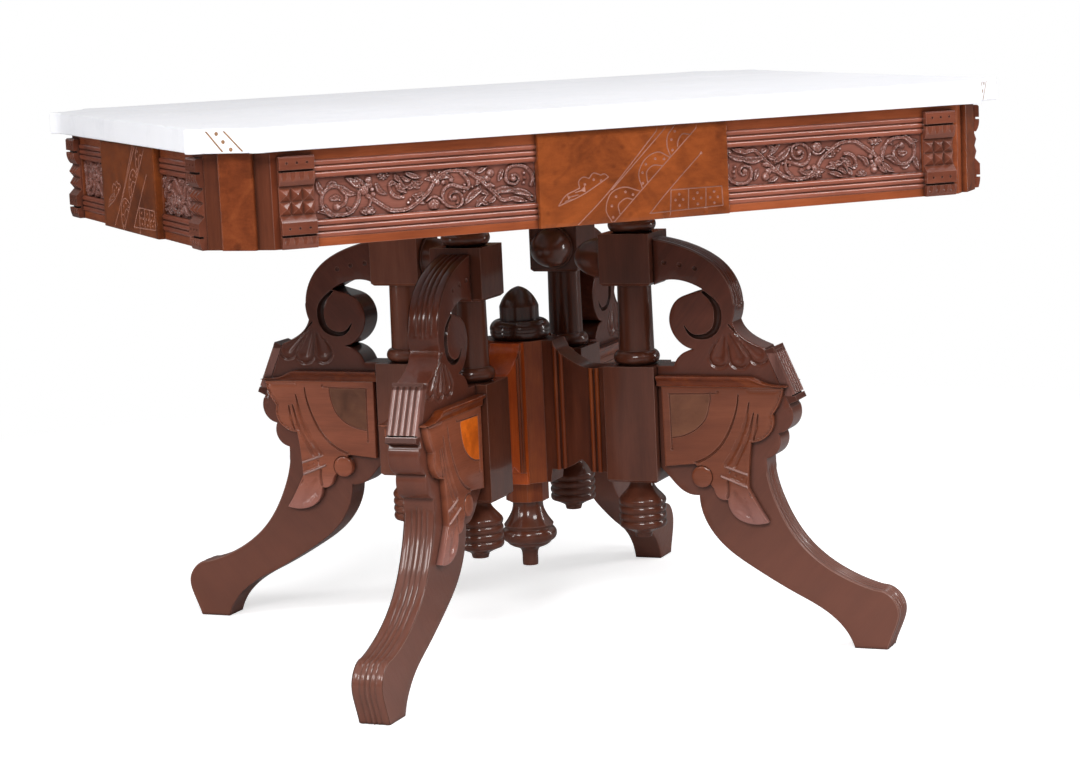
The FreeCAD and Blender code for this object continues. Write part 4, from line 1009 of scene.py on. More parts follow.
# leaves: points, width and rise
SCROLL_LEAVES = [
    # round the left spiral
    ([(34, 36), (44, 29), (54, 27)], 9.0, 2.6), ([(12, 29), (8, 38), (5, 46)], 8.0, 2.2),
    ([(23, 23), (30, 24), (35, 20)], 7.0, 2.4), ([(19, 38), (26, 41), (32, 37)], 7.0, 2.0),
    ([(25, 2), (17, 8), (5, 9)], 7.5, 2.6), ([(25, 2), (17, 8), (8, 16)], 7.5, 2.6),
    ([(25, 2), (17, 8), (16, 16)], 7.5, 2.6), ([(42, 11), (46, 8), (50, 5)], 5.0, 2.4),
    # by the ball, and the lobes in the hooked leaf
    ([(80, 36), (84, 28), (93, 23.5)], 7.0, 2.8), ([(96, 34), (100, 37), (104, 35)], 6.0, 2.4),
    ([(104, 36), (107, 32), (106, 27)], 6.0, 2.4), ([(107, 28), (112, 27), (118, 24)], 6.0, 2.4),
    # the waved acanthus above the stem, and two leaves under it
    ([(104, 45), (108, 40), (112, 38)], 7.0, 2.7), ([(110, 38), (112, 32), (119, 29)], 6.5, 2.7),
    ([(118, 30), (124, 31), (127, 37)], 6.5, 2.7), ([(118, 47), (127, 43), (137, 41)], 7.0, 2.7),
    ([(126, 37), (129, 31), (135, 28)], 6.5, 2.7), ([(128, 36), (133, 34), (139, 35)], 6.0, 2.7),
    ([(112, 43), (118, 39), (124, 39)], 6.0, 2.7), ([(128, 18), (134, 12), (142, 9)], 6.0, 2.3),
    ([(126, 19), (134, 20), (143, 21)], 5.0, 2.0),
    # beside the hand of leaves, and round the middle spiral
    ([(160, 38), (169, 40), (179, 36)], 6.0, 2.2), ([(212, 21), (201, 15), (190, 4)], 9.5, 2.8),
    ([(212, 24), (206, 20), (198, 19)], 5.0, 2.2), ([(210, 42), (216, 45), (222, 47)], 6.0, 2.2),
    # small lobes under the stem
    ([(207, 1), (213, 8), (221, 14)], 6.0, 2.3), ([(213, 18), (218, 17), (223, 14)], 6.0, 2.3),
    ([(212, 8), (217, 4), (223, 1)], 6.0, 2.3), ([(224, 5), (229, 8), (231, 12)], 6.0, 2.3),
    # by the right spiral, and the acanthus along the foot
    ([(237, 31), (240, 38), (243, 44)], 6.5, 2.5), ([(232, 17), (246, 18.5), (262, 16)], 9.0, 2.8),
    ([(254, 16), (267, 14), (281, 8)], 8.0, 2.8), ([(252, 8), (262, 5), (272, 3)], 7.5, 2.3),
    ([(272, 8), (277, 5), (282, 2)], 5.0, 2.0),
]
# hands of leaves: their root, what they bend towards, width, rise and the tips
SCROLL_HANDS = [
    ((157, 36), (157, 38), 6.5, 2.4, [(163, 47), (154, 48), (146, 46), (141, 38)]),
    ((211, 35), (213, 33), 5.5, 2.4, [(222, 31), (220, 26), (206, 26)]),
]
# the flatter blades that hold the ball
SCROLL_BLADES = [([(58, 35), (50, 42), (42, 46)], 8.5, 3.0), ([(64, 37), (59, 42), (52, 47)], 6.0, 2.6)]
BLADE_DISH = 0.3
# balls, berries and buds: centre, radius and rise
SCROLL_BEADS = [
    ((29, 13), 4.2, 3.0), ((64, 31), 6.4, 3.2), ((74, 31), 3.0, 2.8), ((75, 25), 3.5, 2.8),
    ((70, 42), 4.6, 3.2), ((70, 37), 5.2, 2.3), ((68.5, 4.5), 3.8, 3.1), ((119, 12), 2.2, 2.2),
    ((122, 15), 1.8, 2.0), ((152, 8), 7.6, 2.8), ((151, 40), 4.0, 2.5), ((157, 33.5), 4.0, 2.5),
    ((165, 33), 3.2, 2.5), ((175, 35), 3.0, 2.5), ((178, 13), 3.6, 2.9), ((182, 7), 2.0, 2.2),
    ((192, 28), 2.0, 2.2), ((191, 20), 2.0, 2.2), ((202, 25), 2.0, 2.2), ((226, 40), 5.2, 3.1),
    ((222, 34), 4.6, 2.2), ((256, 31), 4.0, 3.0), ((270, 37), 2.0, 2.3), ((271, 31), 2.0, 2.3),
    ((269, 25), 2.0, 2.3),
]
SCROLL_EYE = ((112, 22), 2.4, 0.8)
# the half flowers, one on the foot and one under the head: middle, the shares of the reach at which a
# petal's spine bends and ends, petal width and rise
FLOWER_ANGLES = (18, 54, 90, 126, 162)
FLOWER_REACH = np.array([10.5, 8.5])
FLOWERS = [((68, 3), [(0.6, 0.6), (1.0, 1.0)], 6.5, 2.4), ((89, 48), [(0.5, -0.5), (0.8, -0.85)], 5.5, 2.2)]

# the height that the scroll is set out for, and the step of the panel's mesh
STRIP_HEIGHT = 49.7
STRIP_STEP = 0.85
# the panel's ground, out of the rail's face, and how far its carving stands up from there
GROUND_OUT = -5.2
RELIEF_SHARE = 1.6
BORDER_FADE = 0.9
GOUGE_DEPTH = 0.4


def carve_scroll(relief):
    """The whole scroll of one panel, cut into its relief."""
    for stem in SCROLL_STEMS:
        relief.rib(*stem)
    for leaf in SCROLL_LEAVES:
        relief.leaf(*leaf)
    for blade in SCROLL_BLADES:
        relief.leaf(*blade, BLADE_DISH)
    for root, pull, width, rise, tips in SCROLL_HANDS:
        for tip in tips:
            middle = ((pull[0] + tip[0]) / 2.0, (pull[1] + tip[1]) / 2.0)
            relief.leaf([root, middle, tip], width, rise)
    for middle, shares, width, rise in FLOWERS:
        for angle in FLOWER_ANGLES:
            way = FLOWER_REACH * (math.cos(math.radians(angle)), math.sin(math.radians(angle)))
            relief.leaf([middle] + [middle + way * share for share in shares], width, rise)
    for bead in SCROLL_BEADS:
        relief.bead(*bead)
    relief.pit(*SCROLL_EYE)


def gouge_marks(u, v):
    """Small uneven dents of a hand gouge, from -1 to 1, over a panel."""
    return np.sin(u * 1.7 + 2.0 * np.sin(v * 0.9)) * np.sin(v * 2.1 + 1.5 * np.sin(u * 0.8))


def carved_board(length, height, back):
    """One carved panel, a closed board whose lower left corner is at the origin."""
    columns, rows = int(length / STRIP_STEP), int(height / STRIP_STEP)
    u, v = np.meshgrid(np.linspace(0, length, columns + 1), np.linspace(0, height, rows + 1))
    relief = Relief(np.stack([u.ravel(), (v * STRIP_HEIGHT / height).ravel()], axis=1))
    carve_scroll(relief)
    border = np.minimum.reduce([u, length - u, v, height - v]).ravel()
    carving = relief.height()
    carving += GOUGE_DEPTH * gouge_marks(u.ravel(), v.ravel()) * (carving > GOUGE_DEPTH)
    out = GROUND_OUT + RELIEF_SHARE * carving * np.clip(border / BORDER_FADE, 0.0, 1.0)
    front = np.stack([u.ravel(), v.ravel(), out], axis=1)
    rear = np.array([(0, 0, back), (length, 0, back), (length, height, back), (0, height, back)])
    across, count = columns + 1, len(front)
    faces = [(j * across + i, j * across + i + 1, (j + 1) * across + i + 1, (j + 1) * across + i)
             for j in range(rows) for i in range(columns)]
    bottom = list(range(across))
    top = [rows * across + i for i in range(across)]
    left = [j * across for j in range(rows + 1)]
    right = [j * across + columns for j in range(rows + 1)]
    faces += [tuple(bottom[::-1]) + (count, count + 1), tuple(top) + (count + 2, count + 3),
              tuple(left) + (count + 3, count), tuple(right[::-1]) + (count + 1, count + 2),
              (count + 3, count + 2, count + 1, count)]
    return np.vstack([front, rear]), faces


def carved_strips(side, material):
    """A side's two panels: the same strip at the left and, turned about, at the right."""
    outer, foot, head, back = side_box(side, "carved_panels")[:4]
    tablet_end, rail_face = side_box(side, "tablet")[0], side_box(side, "rail")[-1]
    places, faces = carved_board(outer - tablet_end, head - foot, back - rail_face)
    piece = Piece()
    piece.add(places + (-outer, foot, 0.0), faces)
    piece.add(np.stack([outer - places[:, 0], head - places[:, 1], places[:, 2]], axis=1), faces)
    return piece.make(side + "_carved_strips", [on_side(side)], [material], [side + "_carved_panels"])


# ---- tablets ---------------------------------------------------------------------
LINE_WIDTH, LINE_DEPTH = 1.4, 0.8
DOT_RADIUS, DOT_DEPTH = 1.7, 1.1
TABLET_LENGTH = 256.0
TABLET_BORDER = 1.8
TABLET_ROUNDING = 1.0
TABLET_STEP = 6.0
# what counts as incised: this deep, and this far from the tablet's edges
INCISED_FROM, INCISED_TO = 0.12, 1.3
INCISED_BORDER = 1.3

TABLET_LINES = [
    # three long sweeps
    [(159, 109), (94, 41), (50, -1)], [(170, 111), (96, 41)], [(213, 109), (134, 36), (98, 1)],
    # three arches, each with its inner arch
    [(133, 37), (112, 43), (94, 36), (87, 17), (94, 2)], [(124, 27), (114, 29), (104, 22), (105, 12)],
    [(175, 76), (160, 83), (143, 76), (133, 59), (137, 40)], [(164, 66), (153, 67), (144, 60), (144, 49)],
    [(182, 112), (174, 102), (173, 89), (177, 77)], [(204, 102), (194, 103), (188, 95), (187, 88)],
    # leaf with scalloped top and three veins
    [(24, 26), (55, 37), (80, 50), (92, 57)], [(24, 26), (34, 38), (53, 46)],
    [(53, 46), (52, 54), (58, 59), (66, 57)], [(66, 57), (72, 63), (82, 60)], [(82, 60), (87, 61), (92, 57)],
    [(33, 31), (42, 33)], [(40, 36), (50, 38)], [(47, 41), (55, 43)],
    # slanting frame with its three cells
    [(219, 78), (173, 35), (146, 8)], [(176, 35), (246, 35)], [(246, 35), (247, 11)], [(146, 8), (247, 11)],
    [(176, 35), (174, 6)], [(200, 35), (199, 10)], [(224, 35), (223, 10)],
]
TABLET_DOTS = [(124, 33), (114, 37), (101, 32), (95, 21), (96, 7), (168, 74), (156, 75), (143, 69), (138, 59),
               (138, 46), (184, 107), (179, 97), (180, 84), (60, 50), (72, 55), (82, 53), (219, 78)]
TABLET_CELLS = [(187, 22), (212, 22), (235, 22)]
CELL_SPREAD = [(0, 7), (-5.5, 0), (5, 0), (0, -7)]


def tablet_board(side, materials):
    """A raised tablet with its incised design."""
    half, foot, head, back, front = side_box(side, "tablet")
    rail_face = side_box(side, "rail")[-1]
    height, back, front = head - foot, back - rail_face, front - rail_face
    spread = 2.0 * half / TABLET_LENGTH

    def set_out(points):
        return [((u - TABLET_LENGTH / 2.0) * spread, min(max(v, TABLET_BORDER), height - TABLET_BORDER))
                for u, v in points]

    strokes = [set_out(line) for line in TABLET_LINES]
    dots = set_out(TABLET_DOTS)
    for cell in TABLET_CELLS:
        dots += set_out([(cell[0] + du, cell[1] + dv) for du, dv in CELL_SPREAD])
    lines = []
    for stroke in strokes:
        lines += stroke_lines(stroke, [LINE_WIDTH])
    for dot in dots:
        lines += dot_lines(dot, DOT_RADIUS)

    def carve(places):
        relief = Relief(places)
        for stroke in strokes:
            relief.cut(stroke, [LINE_WIDTH], LINE_DEPTH, 1.0)
        for dot in dots:
            relief.pit(dot, DOT_RADIUS, DOT_DEPTH)
        return relief.height()

    def incised(centres):
        along, up, out = centres.T
        deep = (out < front - INCISED_FROM) & (out > front - INCISED_TO)
        border = np.minimum.reduce([half - np.abs(along), up, height - up])
        return np.where(deep & (border > INCISED_BORDER), 1, 0)

    outline = even_outline([(-half, 0), (half, 0), (half, height), (-half, height)], TABLET_STEP)
    piece = Piece()
    piece.add(*board(outline, back, front, TABLET_ROUNDING, carve, lines, fine=TABLET_STEP, round_low=False),
              incised)
    return piece.make(side + "_incised_tablet", [on_side(side, raised=foot)], materials, [side + "_tablet"])


# ---- legs: places are (out from the table's middle, up) ----------------------------
PLANK_HALF = 21.25
PLANK_ROUNDING = 1.3
PLANK_STEP = 1.7
EDGE_STEPS = 34
# the reeds across the plank's edge; each ends in a tongue, longer towards the plank's faces
REED_EDGES = np.array([-PLANK_HALF, -10.6, -3.5, 3.5, 10.6, PLANK_HALF])
REED_DEPTH, REED_BED = 1.7, 0.35
REED_RUN_OUT = 3.0
TONGUE_OUTER, TONGUE_PART = 7.0, 5.0
ARM_REED_END = 446.0
TOE_REED_START = 246.0
# where the reeds may run: the arm's front and its top, and the shin and toe, and how far the edge
# has to face outwards or upwards there
ARM_FRONT, ARM_TOP, TOE_TOP = (255.0, 400.0), (207.0, 480.0), (355.0, 262.0)
ARM_FACES_OUT, ARM_FACES_UP, TOE_FACES_OUT, TOE_FACES_UP = 0.05, 0.6, 0.1, 0.3
SCROLL_GROOVE = [(274, 475), (285, 465.5), (292, 455), (294, 444), (292.5, 432), (287.5, 422.5), (279, 416.5),
                 (269, 414.3), (259.5, 415.5), (252.5, 420), (247, 428)]
SCROLL_WIDTHS = [4.0, 5.5, 8.5, 10.5, 11.0, 10.0, 9.0, 7.5, 6.0, 4.0, 1.6]
SCROLL_DEPTH, SCROLL_FLATNESS = 6.0, 3.0
# the depths between which the groove is blackened
SCROLL_SUNK = (0.8, 7.0)
PETALS = [[(301, 414), (294, 388)], [(309, 417), (322, 387)], [(317, 421), (349, 393)]]
PETAL_WIDTHS = [8.0, 18.0, 25.0]
PETAL_MOAT, PETAL_HOLLOW = 2.2, 1.6
NECK_GROOVE = [(308, 431), (320, 420), (338, 411), (360, 403.5)]
NECK_WIDTHS, NECK_DEPTH = [2.0, 5.0, 5.5, 4.0], 3.0
LEG_DOTS = [(221, 514), (243, 511), (264, 506)]
LEG_DOT_RADIUS, LEG_DOT_DEPTH = 3.6, 2.6
# the part of the face that needs a close mesh
CARVED_LOW, CARVED_HIGH = (236.0, 364.0), (366.0, 486.0)


def reeded_edge(outline, across):
    """How deep the leg's edge is cut between its reeds: down the arm, and from the shin round the toe."""
    x, y = outline[:, 0], outline[:, 1]
    faces_out, faces_up = rim_of(outline)[0].T
    arm = (faces_out > ARM_FACES_OUT) & (x > ARM_FRONT[0]) & (y > ARM_FRONT[1])
    arm |= (faces_up > ARM_FACES_UP) & (x > ARM_TOP[0]) & (y > ARM_TOP[1])
    toe = (faces_out > TOE_FACES_OUT) | (faces_up > TOE_FACES_UP)
    toe &= (x > TOE_TOP[0]) & (y < TOE_TOP[1])
    reed = np.clip(np.searchsorted(REED_EDGES, across) - 1, 0, len(REED_EDGES) - 2)
    middle = (REED_EDGES[reed] + REED_EDGES[reed + 1]) / 2.0
    half = (REED_EDGES[reed + 1] - REED_EDGES[reed]) / 2.0
    part = np.clip(np.abs(across - middle) / half, 0.0, 1.0)
    valley = REED_DEPTH * (1.0 - np.sqrt(np.maximum(1.0 - part ** 2, 0.0)))
    tongue = TONGUE_OUTER * (np.abs(across) / PLANK_HALF) ** 2 + TONGUE_PART * part ** 2
    over_end = y[:, None] - ARM_REED_END - tongue[None, :]
    under_start = TOE_REED_START - tongue[None, :] - y[:, None]
    share = np.clip(over_end / REED_RUN_OUT, 0.0, 1.0) * arm[:, None]
    share += np.clip(under_start / REED_RUN_OUT, 0.0, 1.0) * toe[:, None]
    return share * valley[None, :] + REED_BED * share * (part[None, :] > 0.0)


def carve_leg(places):
    """Heights over a leg's face: groove, petals, neck and dots."""
    relief = Relief(places)
    relief.cut(SCROLL_GROOVE, SCROLL_WIDTHS, SCROLL_DEPTH, SCROLL_FLATNESS)
    for petal in PETALS:
        relief.petal(petal, PETAL_WIDTHS, PETAL_MOAT, PETAL_HOLLOW)
    relief.cut(NECK_GROOVE, NECK_WIDTHS, NECK_DEPTH)
    for dot in LEG_DOTS:
        relief.pit(dot, LEG_DOT_RADIUS, LEG_DOT_DEPTH)
    return relief.height()


def near_carving(places):
    """Which places of a leg's face are by its groove and petals."""
    return ((places > CARVED_LOW) & (places < CARVED_HIGH)).all(1)


def groove_finish(centres):
    """1 within the scroll groove, and 0 elsewhere."""
    distance, share = nearest_on(centres[:, :2], smooth_line(SCROLL_GROOVE))
    sunk = PLANK_HALF - np.abs(centres[:, 2])
    deep = (sunk > SCROLL_SUNK[0]) & (sunk < SCROLL_SUNK[1])
    return np.where((distance < evenly(SCROLL_WIDTHS, share) / 2.0) & deep, 1, 0)


def scroll_leg(corner, materials):
    """One leg's plank: reeded edges, a deep scroll groove, three petals and three dots on each face."""
    lines = stroke_lines(SCROLL_GROOVE, SCROLL_WIDTHS, (-1.0, -0.75, 0.0, 0.75, 1.0))
    lines += stroke_lines(NECK_GROOVE, NECK_WIDTHS)
    for dot in LEG_DOTS:
        lines += dot_lines(dot, LEG_DOT_RADIUS)
    plank = board(flat_side("leg_" + corner, corner, PLANK_HALF), -PLANK_HALF, PLANK_HALF, PLANK_ROUNDING,
                  carve_leg, lines, near_carving, PLANK_STEP, True, reeded_edge, EDGE_STEPS)
    piece = Piece()
    piece.add(*plank, groove_finish)
    return piece.make("scroll_leg_" + corner, [on_leg(corner)], materials, ["leg_" + corner])


# ---- cheeks: places as on the legs -------------------------------------------------
CHEEK_LOW, CHEEK_FACE = PLANK_HALF, 30.25
CHEEK_ROUNDING = 1.1
CHEEK_STEP, CHEEK_EDGE_STEP = 2.4, 2.0
FACE_DEPTH = 0.1
# grooves of the fan: points and widths
FAN_GROOVES = [
    ([(321.5, 338), (319, 322), (312, 300), (300, 277), (285, 260), (265, 248), (240, 242.5), (216, 240.5)],
     [2.0, 4.0, 4.4, 3.4]),
    ([(336, 328), (330, 300), (322, 280), (312, 260), (301, 244)], [2.0, 7.0, 9.0, 8.0]),
    ([(342, 314), (335, 287), (325, 265), (314, 243)], [2.0, 7.0, 7.0]),
    ([(348, 312), (345, 295), (341, 279)], [2.0, 6.0, 3.0]),
]
FAN_DEPTH = 2.2
# the inlaid corner, the scored lines round it and the dots at their ends
INSET_OUTLINE = [(225.5, 338.5), (282, 340.5), (282, 330), (275.5, 307), (262, 292), (245, 283), (225.5, 279)]
INSET_LINES = [[(225, 338), (225.5, 300), (226, 264)], [(224, 338.5), (286, 340), (293, 342)],
               [(282, 340.5), (282, 330), (275.5, 307), (262, 292), (245, 283), (226, 279)]]
INSET_DOTS = [(226, 264), (293, 342)]
SCORE_WIDTH, SCORE_DEPTH = 1.9, 1.1
INSET_DOT_RADIUS, INSET_DOT_DEPTH = 2.4, 1.5
# the strap: its sunk band, its two beads and its three stars
STRAP_BAND = [(309, 230), (317, 226.5), (329, 222)]
BAND_WIDTH, BAND_DEPTH, BAND_FLATNESS = 10.0, 1.1, 6.0
STRAP_EDGES = [[(301, 241.5), (317, 236), (334, 230.5)], [(294, 228.5), (313, 221), (335, 212.5)]]
STRAP_WIDTH, STRAP_RISE = 2.8, 1.8
STRAP_STARS = [(306, 234), (314, 230), (322.5, 226.5)]
STAR_RADIUS, STAR_DEPTH = 2.3, 2.3
# the leaf: a small lobe, its rim, its dished middle and its flutes
SMALL_LOBE = [(303, 222), (303.5, 210), (302, 199)]
LOBE_WIDTHS, LOBE_DEPTH = [2.5, 3.5], 2.6
LEAF_RIM = [(329, 214), (336, 198), (346, 180), (354, 167.5)]
RIM_WIDTHS, RIM_DEPTH = [1.0, 2.6, 2.6, 1.4], 1.6
LEAF_MIDDLE = [(311, 206), (316, 192), (330, 177)]
MIDDLE_WIDTHS, MIDDLE_DEPTH = [6.0, 20.0, 10.0], 2.2
LEAF_FLUTES = [[(311, 204), (310, 192), (312, 182)], [(319, 202), (320, 186), (324, 174)],
               [(326, 200), (330, 182), (338, 168)]]
FLUTE_WIDTHS, FLUTE_DEPTH = [1.6, 3.0, 3.6], 1.0
# the fan's outer end rolls away between these levels, beyond this distance out
ROLL_OUT, ROLL_LEVELS = 335.0, (277.0, 346.0)
ROLL_DROP, ROLL_REACH = 3.2, 9.0
# the volute's dome: radius and height over the plank
VOLUTE_CENTRE = (266.9, 226.9)
VOLUTE_DOME = [(14.6, 7.6), (14.4, 8.8), (13.6, 9.6), (11.0, 10.0), (7.0, 10.2)]
DOME_POINTS, DOME_TIP = 40, 0.1
# the moulded head: its top edge, and its section by (share of its height, out)
HEAD_FOOT = 348.75
HEAD_TOP = [(207.4, 362.75), (280, 362.75), (334, 362.75), (339, 362.2), (345, 360), (353, 356), (362, 353.3),
            (374, 351.6), (388, 350.9)]
HEAD_STEP = 4.0
HEAD_SECTION = [(0.0, 0.0), (0.0, 9.4)] + [(0.1 + 0.62 * share, 9.2 + 3.9 * share ** 3)
                                          for share in np.linspace(0.0, 1.0, 7)]
HEAD_SECTION += [(0.80, 13.9), (0.96, 13.9), (1.0, 13.3), (1.0, 0.0)]


def loft(sections):
    """A closed body through sections that hold the same number of places."""
    size, last = len(sections[0]), len(sections) - 1
    faces = []
    for k in range(last):
        for i in range(size):
            ahead = (i + 1) % size
            faces.append((k * size + i, k * size + ahead, (k + 1) * size + ahead, (k + 1) * size + i))
    faces.append(tuple(range(size))[::-1])
    faces.append(tuple(last * size + i for i in range(size)))
    return np.vstack(sections), faces


def volute_dome():
    """The round boss in the eye of a cheek's volute, from its foot to its tip."""
    turns = np.linspace(0.0, 2.0 * np.pi, DOME_POINTS, endpoint=False)
    rings = [(VOLUTE_DOME[0][0], 0.0)] + VOLUTE_DOME
    places = [(VOLUTE_CENTRE[0] + radius * math.cos(turn), VOLUTE_CENTRE[1] + radius * math.sin(turn),
               CHEEK_LOW + out) for radius, out in rings for turn in turns]
    places.append((*VOLUTE_CENTRE, CHEEK_LOW + rings[-1][1] + DOME_TIP))
    tip, last = len(places) - 1, (len(rings) - 1) * DOME_POINTS
    faces = []
    for low in range(0, last, DOME_POINTS):
        high = low + DOME_POINTS
        for i in range(DOME_POINTS):
            ahead = (i + 1) % DOME_POINTS
            faces.append((low + i, low + ahead, high + ahead, high + i))
    faces += [(last + i, last + (i + 1) % DOME_POINTS, tip) for i in range(DOME_POINTS)]
    faces.append(tuple(range(DOME_POINTS))[::-1])
    return np.array(places), faces


def cheek_moulding():
    """The moulded head of a cheek: a cavetto under a fillet, falling in an ogee to a thin lip."""
    return loft([[(u, HEAD_FOOT + (top - HEAD_FOOT) * part, CHEEK_LOW + out) for part, out in HEAD_SECTION]
                 for u, top in smooth_line(HEAD_TOP, HEAD_STEP)])


def cheek_lines():
    """The lines that a cheek's mesh follows."""
    lines = []
    for points, widths in FAN_GROOVES:
        lines += stroke_lines(points, widths)
    for points in INSET_LINES + [SMALL_LOBE]:
        lines += stroke_lines(points, [SCORE_WIDTH])
    for points in STRAP_EDGES:
        lines += stroke_lines(points, [STRAP_WIDTH], (-1.0, -0.5, 0.0, 0.5, 1.0))
    for dot in INSET_DOTS + STRAP_STARS:
        lines += dot_lines(dot, INSET_DOT_RADIUS)
    return lines


def carve_cheek(places, outline):
    """Heights over a cheek's face: fan, inlaid corner, strap and leaf, and the roll at the fan's end."""
    relief = Relief(places)
    for points, widths in FAN_GROOVES:
        relief.cut(points, widths, FAN_DEPTH)
    for points in INSET_LINES:
        relief.cut(points, [SCORE_WIDTH], SCORE_DEPTH, 1.0)
    for dot in INSET_DOTS:
        relief.pit(dot, INSET_DOT_RADIUS, INSET_DOT_DEPTH)
    relief.cut(SMALL_LOBE, LOBE_WIDTHS, LOBE_DEPTH)
    relief.cut(LEAF_RIM, RIM_WIDTHS, RIM_DEPTH, 1.0)
    relief.cut(LEAF_MIDDLE, MIDDLE_WIDTHS, MIDDLE_DEPTH)
    for points in LEAF_FLUTES:
        relief.cut(points, FLUTE_WIDTHS, FLUTE_DEPTH)
    relief.cut(STRAP_BAND, [BAND_WIDTH], BAND_DEPTH, BAND_FLATNESS)
    for star in STRAP_STARS:
        relief.pit(star, STAR_RADIUS, STAR_DEPTH)
    for points in STRAP_EDGES:
        relief.rib(points, [STRAP_WIDTH], STRAP_RISE)
    out, up = places.T
    rolls = (out > ROLL_OUT) & (up > ROLL_LEVELS[0]) & (up < ROLL_LEVELS[1])
    distance = nearest_on(places, closed(outline))[0]
    return relief.height() - ROLL_DROP * np.clip(1.0 - distance / ROLL_REACH, 0.0, 1.0) ** 2 * rolls


def cheek_finish(centres):
    """3 on the strap's beads, 1 in the inlaid corner, and 0 elsewhere."""
    upper = centres[:, 2] > CHEEK_FACE - FACE_DEPTH
    beads = np.zeros(len(centres), bool)
    for points in STRAP_EDGES:
        distance, share = nearest_on(centres[:, :2], smooth_line(points))
        beads |= (distance < STRAP_WIDTH / 2.0) & (share > 0.0) & (share < 1.0) & upper
    inlaid = upper & inside_of(centres[:, :2], np.array(INSET_OUTLINE, float))
    return np.where(beads, 3, np.where(inlaid, 1, 0))


def cheek_pair(corner, materials):
    """Both cheeks of a leg, with their volutes and moulded heads."""
    outline = flat_side("cheeks_" + corner, corner, CHEEK_FACE, CHEEK_EDGE_STEP)

    def carve(places):
        return carve_cheek(places, outline)

    def everywhere(places):
        return np.ones(len(places), bool)

    cheek = board(outline, CHEEK_LOW, CHEEK_FACE, CHEEK_ROUNDING, carve, cheek_lines(), everywhere,
                  CHEEK_STEP, round_low=False)
    piece = Piece()
    piece.add(*cheek, cheek_finish)
    piece.add(*cheek_moulding(), 2)
    piece.add(*volute_dome())
    return piece.make("carved_cheeks_" + corner, [on_leg(corner), on_leg(corner, -1.0)], materials,
                      ["cheeks_" + corner])


# ---- gilt marks on the marble's canted corners ---------------------------------------
# places are (along the flat from the short side, up)
MARK_LINES = [[(3.8, 737.0), (24.6, 713.0)], [(27.4, 737.0), (51.0, 713.0)]]
MARK_DOTS = [(17.7, 734.0), (26.0, 724.5), (35.7, 715.5)]
MARK_WIDTH, MARK_DOT_RADIUS, MARK_DOT_POINTS = 2.6, 2.4, 16
MARK_BACK, MARK_FRONT = -0.6, 0.15
FLAT_MIDDLE = (511.9, 376.4)
FLAT_LENGTH = 58.0


def on_flat(sign_x, sign_y):
    """Places (along from the short side, up, out of the flat) of one canted corner of the marble."""
    def place(points):
        back = (FLAT_LENGTH / 2.0 - points[:, 0]) / math.sqrt(2.0)
        out = points[:, 2] / math.sqrt(2.0)
        return np.stack([sign_x * (FLAT_MIDDLE[0] + back + out), sign_y * (FLAT_MIDDLE[1] - back + out),
                         points[:, 1]], axis=1)
    return place


def gilt_marks(material):
    """Two slanting lines and three dots, rubbed gilding, alike at each corner."""
    half = MARK_WIDTH / 2.0
    outlines = [[(start[0] - half, start[1]), (end[0] - half, end[1]), (end[0] + half, end[1]),
                 (start[0] + half, start[1])] for start, end in MARK_LINES]
    turns = np.linspace(0.0, 2.0 * np.pi, MARK_DOT_POINTS, endpoint=False)
    outlines += [[(u + MARK_DOT_RADIUS * math.cos(turn), v + MARK_DOT_RADIUS * math.sin(turn))
                  for turn in turns] for u, v in MARK_DOTS]
    piece = Piece()
    for outline in outlines:
        piece.add(*loft([[(u, v, out) for u, v in outline] for out in (MARK_BACK, MARK_FRONT)]))
    ways = [on_flat(sign_x, sign_y) for sign_x in (-1, 1) for sign_y in (-1, 1)]
    return piece.make("marble_gilt_marks", ways, [material], body="top")


gilt_marks(rubbed_gilding())
for corner in CORNERS:
    inset_wood = bright_inset if corner == BRIGHT_CORNER else burl_inset
    scroll_leg(corner, [leg_woods[corner], groove_wood])
    cheek_pair(corner, [cheek_woods[corner], inset_wood, moulding_wood, pale_bead])
for side in SIDES:
    carved_strips(side, carved_woods[side])
    tablet_board(side, [tablet_burls[side], pale_incised_line])


# ---- studio --------------------------------------------------------------------------
WHITE = (1.0, 1.0, 1.0, 1.0)
AIR_LIGHT = 0.14
FLOOR_REACH, FLOOR_DROP = 14.0, 0.0004
FLOOR_FADE = (0.8, 2.2)
FLOOR_LIFT, FLOOR_DIM = 0.58, 0.65
# soft lamps: place, aim, size in metres, and power in watts
LAMPS = {
    "overhead_box": ((1.0, -0.6, 3.2), (0.5, -0.2, 0.4), (2.0, 1.0), 35.0),
    "front_box": ((-2.0, -3.4, 2.7), (0.0, 0.0, 0.3), (1.6, 1.3), 108.0),
    "right_box": ((1.7, -2.9, 3.3), (1.7, -0.2, 0.4), (2.0, 1.0), 90.0),
    "left_window": ((-3.1, -1.0, 2.3), (-0.3, -0.2, 0.4), (0.9, 0.85), 32.0),
    "left_strip": ((-3.3, 0.2, 1.25), (-0.1, -0.1, 0.5), (0.2, 2.2), 14.0),
    "right_strip": ((3.3, -0.6, 1.25), (0.1, -0.1, 0.5), (0.2, 2.2), 26.0),
}
CAMERA_PLACE = (-1.4328, -3.5326, 0.9050)
CAMERA_RIGHT = (0.92082542, -0.38741246, -0.04463338)
CAMERA_UP = (0.09812928, 0.11941513, 0.98798313)
CAMERA_AHEAD = (0.37742708, 0.91413982, -0.147977)
SENSOR, LENS = 36.0, 93.263
FAR_CLIP = 100.0


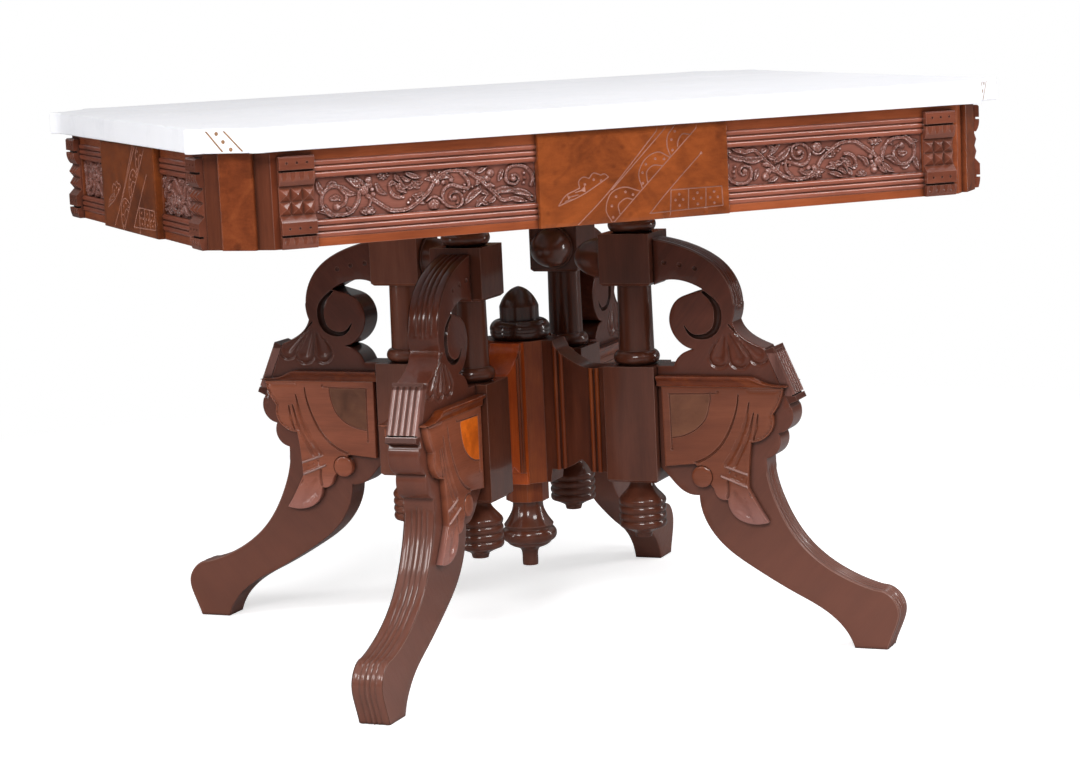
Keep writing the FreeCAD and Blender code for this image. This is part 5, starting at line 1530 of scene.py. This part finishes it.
def white_air():
    """White to the eye; dim as light; in reflections, white overhead and dim near the ground."""
    world = bpy.data.worlds.new("white_air")
    world.use_nodes = True
    scene.world = world
    world.node_tree.nodes.clear()
    bench = Bench(world.node_tree)
    up = bench.axis_of(bench.node("ShaderNodeTexCoord").outputs["Generated"], "Z")
    path = bench.node("ShaderNodeLightPath").outputs
    glossy = bench.times(path["Is Glossy Ray"], bench.span(up, 0.1, 0.85, 0.05, 0.9))
    seen = bench.larger(path["Is Camera Ray"], path["Is Transmission Ray"])
    diffuse = bench.times(path["Is Diffuse Ray"], AIR_LIGHT)
    strength = bench.larger(bench.larger(seen, glossy), diffuse)
    air = bench.node("ShaderNodeBackground", {"Color": WHITE, "Strength": strength})
    bench.node("ShaderNodeOutputWorld", {"Surface": air.outputs[0]})


def floor_paper():
    """Pale paper, lifted for the eye and dim in reflections, that turns white far out."""
    material, bench = fresh_material("floor_paper")
    distance = bench.node("ShaderNodeVectorMath", {0: bench.own_place()}, operation="LENGTH").outputs["Value"]
    path = bench.node("ShaderNodeLightPath").outputs
    paper = bench.node("ShaderNodeBsdfPrincipled", {"Base Color": tint(246, 246, 247), "Roughness": 0.7,
                                                    "Specular IOR Level": 0.2})
    lift = bench.node("ShaderNodeEmission", {
        "Color": WHITE, "Strength": bench.times(path["Is Camera Ray"], FLOOR_LIFT)})
    lifted = bench.node("ShaderNodeAddShader", {0: paper.outputs[0], 1: lift.outputs[0]})
    dim = bench.times(path["Is Glossy Ray"], FLOOR_DIM)
    dimmed = bench.node("ShaderNodeMixShader", {0: dim, 1: lifted.outputs[0]})
    glow = bench.node("ShaderNodeEmission", {"Color": WHITE, "Strength": 1.0})
    far = bench.times(bench.span(distance, *FLOOR_FADE), path["Is Camera Ray"])
    finish_with(bench, bench.node("ShaderNodeMixShader", {0: far, 1: dimmed.outputs[0], 2: glow.outputs[0]}))
    return material


def pale_floor():
    """A wide pale floor just under the feet, which keeps the shadow."""
    mesh = bpy.data.meshes.new("floor")
    reach = FLOOR_REACH
    mesh.from_pydata([(-reach, -reach, 0), (reach, -reach, 0), (reach, reach, 0), (-reach, reach, 0)], [],
                     [(0, 1, 2, 3)])
    mesh.materials.append(floor_paper())
    floor = bpy.data.objects.new("floor", mesh)
    scene.collection.objects.link(floor)
    floor.location.z = -FLOOR_DROP


def soft_lamp(name, place, aim, size, power):
    """A rectangular lamp of this size, turned towards its aim."""
    lamp = bpy.data.lights.new(name, "AREA")
    lamp.shape = "RECTANGLE"
    lamp.size, lamp.size_y = size
    lamp.energy = power
    holder = bpy.data.objects.new(name, lamp)
    scene.collection.objects.link(holder)
    holder.location = place
    holder.rotation_euler = (Vector(aim) - Vector(place)).to_track_quat("-Z", "Y").to_euler()


def camera():
    """The camera at its place, with its own three directions."""
    eye = bpy.data.cameras.new("camera")
    eye.sensor_width = SENSOR
    eye.lens = LENS
    eye.clip_end = FAR_CLIP
    holder = bpy.data.objects.new("camera", eye)
    scene.collection.objects.link(holder)
    turn = Matrix((CAMERA_RIGHT, CAMERA_UP, [-part for part in CAMERA_AHEAD])).transposed().to_4x4()
    holder.matrix_world = Matrix.Translation(CAMERA_PLACE) @ turn
    scene.camera = holder


white_air()
pale_floor()
for name, settings in LAMPS.items():
    soft_lamp(name, *settings)
camera()
